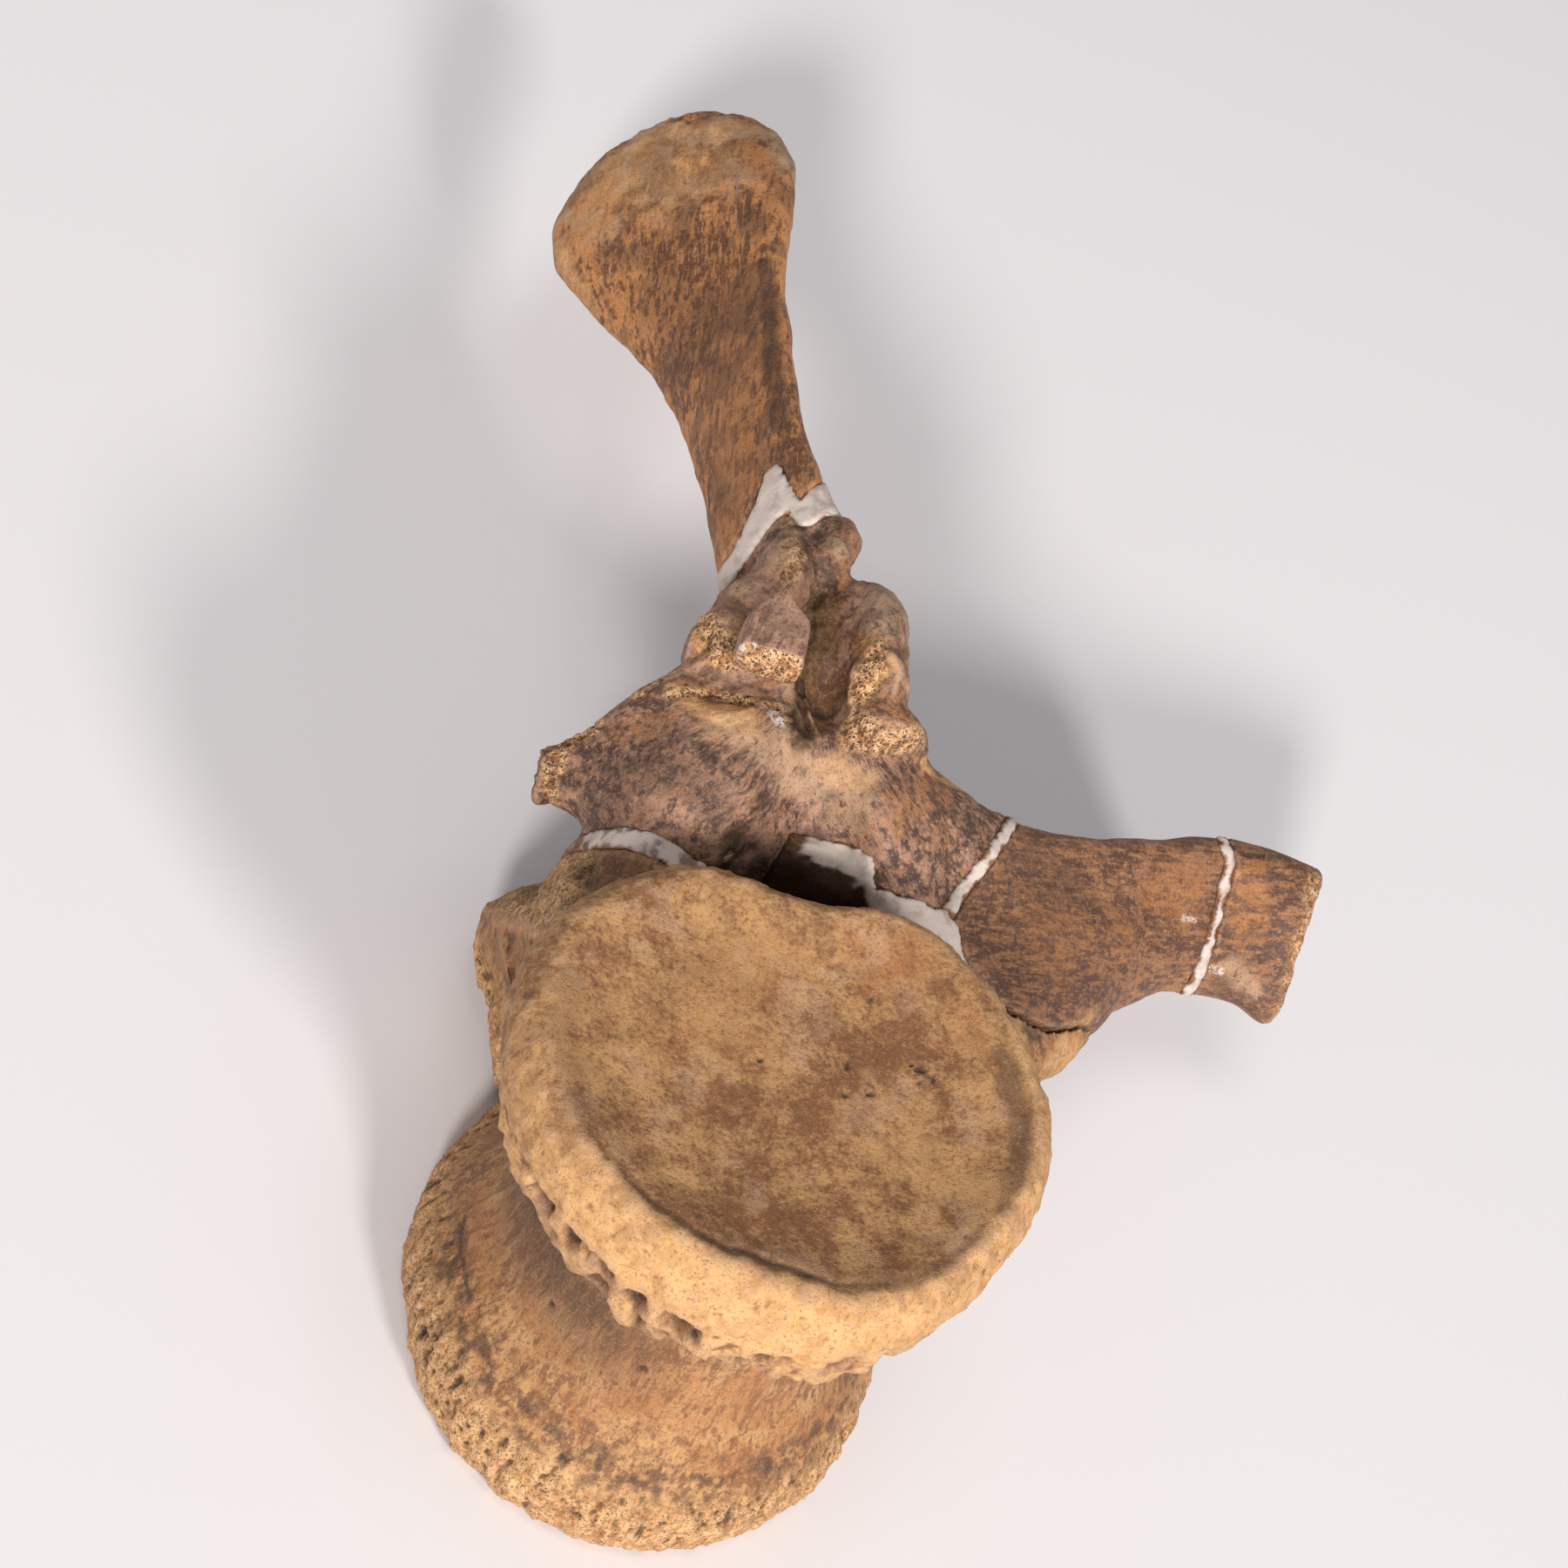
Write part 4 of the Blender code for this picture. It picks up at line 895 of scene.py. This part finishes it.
def plaster_skin(skin, node, relief):
    """Swell the fill to the face of the bone and smear brown over its edges; in the canal, paint the fill
    dark with dirt and painted shadow.
    """
    x, y, z = skin.places.T
    ragged = skin.noise(2.6, 3, 81)
    edge_wander = 0.6 if node in THIN_LINE_SMEARS else 0.35
    smeared = THIN_LINE_SMEARS.get(node, FILL_SMEAR)
    skin.stain("rust", 1 - ramp(skin.gap + edge_wander * ragged, smeared - 0.2, smeared))
    skin.masks["dark"][:] = 0.2
    if node == "plaster_left_pedicle":
        skin.masks["dark"][:] = 0.6
        skin.stain("rust", ramp(-x + ragged, 42, 43.5))
    if node == "plaster_right_pedicle":
        # Painted shadow with dirt: the fill inside the canal, below its lower edge, goes dark through the
        # ochre mask, and the rough bone in the corner is darkened too.
        lower_edge = np.interp(x, *zip(*CANAL_FILL_EDGE))
        inside = 1 - ramp(z + 1.4 * ragged, lower_edge - 0.8, lower_edge + 0.8)
        corner = np.hypot(x - CANAL_CORNER[0], y - CANAL_CORNER[1])
        rough = 1 - ramp(corner + 1.5 * ragged, 4.0, 5.5)
        skin.stain("rust", rough)
        skin.masks["ochre"] = np.maximum(inside, 0.6 * rough)
    skin.hollow()
    skin.seam[:] = 0.0
    skin.swell((0.42 + 0.15 * ragged) * relief)


class PieceOperator:
    """Shared by the operators that dress a piece."""

    bl_options = {"REGISTER", "UNDO"}

    def skin(self, node, fineness, rounds, hold=1.0):
        """The softened skin of a piece, with edges shorter than the setting by fineness, and the relief."""
        settings = bpy.context.scene.vertebra_bone
        skin = Skin(node, node + "_surface", settings.skin_grain / fineness)
        skin.soften(rounds, hold)
        return skin, settings.relief


class VERTEBRA_OT_centrum(PieceOperator, bpy.types.Operator):
    """Dress the centrum with its worn rims and both lamina stumps"""

    bl_idname = "vertebra.centrum"
    bl_label = "Centrum"

    def execute(self, context):
        skin, relief = self.skin("centrum", fineness=0.95, rounds=14)
        grain = centrum_skin(skin, relief)
        skin.done(grain, bone_finish("centrum", warm=0.5, mottle=22.0, gloss=0.58))
        return {"FINISHED"}


class VERTEBRA_OT_arch(PieceOperator, bpy.types.Operator):
    """Dress the neural arch with its torn wing and broken joints"""

    bl_idname = "vertebra.arch"
    bl_label = "Neural Arch"

    def execute(self, context):
        skin, relief = self.skin("neural_arch", fineness=1.36, rounds=8)
        grain = arch_skin(skin, relief)
        skin.done(grain, bone_finish("arch", warm=0.6, mottle=16.0, gloss=0.55))
        return {"FINISHED"}


class VERTEBRA_OT_spine(PieceOperator, bpy.types.Operator):
    """Dress the neural spine"""

    bl_idname = "vertebra.spine"
    bl_label = "Neural Spine"

    def execute(self, context):
        skin, relief = self.skin("neural_spine", fineness=1.2, rounds=18)
        grain = spine_skin(skin, relief)
        skin.done(grain, bone_finish("spine", warm=0.75, mottle=20.0, gloss=0.5))
        return {"FINISHED"}


class VERTEBRA_OT_process(PieceOperator, bpy.types.Operator):
    """Dress both parts of the long side process"""

    bl_idname = "vertebra.process"
    bl_label = "Side Process"

    def execute(self, context):
        finish = bone_finish("process", warm=0.4, mottle=18.0, gloss=0.48)
        for node, marks in (("right_process", PROCESS_MARKS), ("right_process_tip", TIP_MARKS)):
            skin, relief = self.skin(node, fineness=1.3, rounds=18)
            skin.done(blade_skin(skin, relief, PROCESS_GRAIN, marks, 0.15), finish)
        return {"FINISHED"}


class VERTEBRA_OT_chip(PieceOperator, bpy.types.Operator):
    """Dress the chip of bone glued on the left front joint"""

    bl_idname = "vertebra.chip"
    bl_label = "Glued Chip"

    def execute(self, context):
        skin, relief = self.skin("left_front_plate", fineness=2.2, rounds=3, hold=0.0)
        grain = blade_skin(skin, relief, CHIP_GRAIN, CHIP_MARKS, 0.12)
        skin.stain("spongy", ramp(-skin.normals()[:, 1], 0.35, 0.6))
        skin.done(grain, bone_finish("chip", warm=0.35, mottle=9.0, gloss=0.5))
        return {"FINISHED"}


class VERTEBRA_OT_plaster(PieceOperator, bpy.types.Operator):
    """Dress the five plaster fills"""

    bl_idname = "vertebra.plaster"
    bl_label = "Plaster Fills"

    def execute(self, context):
        finish = plaster_finish()
        for node in sorted(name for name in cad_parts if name.startswith("plaster")):
            skin, relief = self.skin(node, fineness=1.3, rounds=3)
            plaster_skin(skin, node, relief)
            skin.done(skin.places, finish)
        return {"FINISHED"}


class VERTEBRA_OT_stage(bpy.types.Operator):
    """Make the pale floor, the soft lights and the camera"""

    bl_idname = "vertebra.stage"
    bl_label = "Stage"

    def make_floor(self, context, settings):
        """A broad pale disc under the bone."""
        bm = bmesh.new()
        bmesh.ops.create_circle(bm, cap_ends=True, segments=FLOOR_SIDES, radius=FLOOR_RADIUS)
        mesh = bpy.data.meshes.new("floor")
        bm.to_mesh(mesh)
        bm.free()
        floor = bpy.data.objects.new("floor", mesh)
        context.scene.collection.objects.link(floor)
        finish = Finish("pale floor")
        finish.set("Base Color", (*settings.floor_colour, 1.0))
        finish.set("Roughness", 0.9)
        finish.set("Specular IOR Level", 0.1)
        mesh.materials.append(finish.material)

    def make_lights(self, context, settings):
        """Even light from all round, and the round lights."""
        world = bpy.data.worlds.new("even light")
        world.use_nodes = True
        background = world.node_tree.nodes["Background"]
        background.inputs["Color"].default_value = SKY_COLOUR
        background.inputs["Strength"].default_value = settings.ambient
        context.scene.world = world
        for name, power, distance, towards in LIGHTS:
            lamp = bpy.data.lights.new(name, "AREA")
            lamp.shape = "DISK"
            lamp.size = LIGHT_SIZE
            lamp.energy = getattr(settings, power)
            lamp.color = LIGHT_COLOUR
            holder = bpy.data.objects.new(name, lamp)
            direction = Vector(towards).normalized()
            holder.location = Vector(LIGHT_AIM) + direction * distance
            holder.rotation_euler = direction.to_track_quat("Z", "Y").to_euler()
            context.scene.collection.objects.link(holder)

    def make_camera(self, context, settings):
        """The camera, looking down on the front face."""
        lens = bpy.data.cameras.new("camera")
        lens.lens = settings.lens
        lens.sensor_width = SENSOR_WIDTH
        lens.clip_start = NEAREST_SEEN
        lens.clip_end = FARTHEST_SEEN
        camera = bpy.data.objects.new("camera", lens)
        turn = Matrix(CAMERA_AXES).transposed()
        place = Vector((np.array(CAMERA_PLACE) + REAR_CENTRE) * MM)
        camera.matrix_world = Matrix.Translation(place) @ turn.to_4x4()
        context.scene.collection.objects.link(camera)
        context.scene.camera = camera

    def execute(self, context):
        settings = context.scene.vertebra_stage
        self.make_floor(context, settings)
        self.make_lights(context, settings)
        self.make_camera(context, settings)
        context.scene.view_settings.view_transform = "Standard"
        return {"FINISHED"}


class VERTEBRA_PT_panel(bpy.types.Panel):
    """Lists the pieces of the vertebra"""

    bl_label = "Vertebra"
    bl_idname = "VERTEBRA_PT_panel"
    bl_space_type = "VIEW_3D"
    bl_region_type = "UI"
    bl_category = "Vertebra"

    def draw(self, context):
        for operator in OPERATORS:
            self.layout.operator(operator.bl_idname)
        scene = context.scene
        for group in (scene.vertebra_bone, scene.vertebra_colours, scene.vertebra_stage):
            box = self.layout.box()
            for name in group.__annotations__:
                box.prop(group, name)


OPERATORS = (VERTEBRA_OT_centrum, VERTEBRA_OT_arch, VERTEBRA_OT_spine, VERTEBRA_OT_process,
             VERTEBRA_OT_chip, VERTEBRA_OT_plaster, VERTEBRA_OT_stage)
CLASSES = (BoneSettings, ColourSettings, StageSettings, *OPERATORS, VERTEBRA_PT_panel)


def register():
    for item in CLASSES:
        bpy.utils.register_class(item)
    bpy.types.Scene.vertebra_bone = bpy.props.PointerProperty(type=BoneSettings)
    bpy.types.Scene.vertebra_colours = bpy.props.PointerProperty(type=ColourSettings)
    bpy.types.Scene.vertebra_stage = bpy.props.PointerProperty(type=StageSettings)


def unregister():
    del bpy.types.Scene.vertebra_bone
    del bpy.types.Scene.vertebra_colours
    del bpy.types.Scene.vertebra_stage
    for item in reversed(CLASSES):
        bpy.utils.unregister_class(item)


def main():
    """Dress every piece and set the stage."""
    register()
    for name in ("centrum", "arch", "spine", "process", "chip", "plaster", "stage"):
        getattr(bpy.ops.vertebra, name)()


if __name__ == "__main__":
    main()
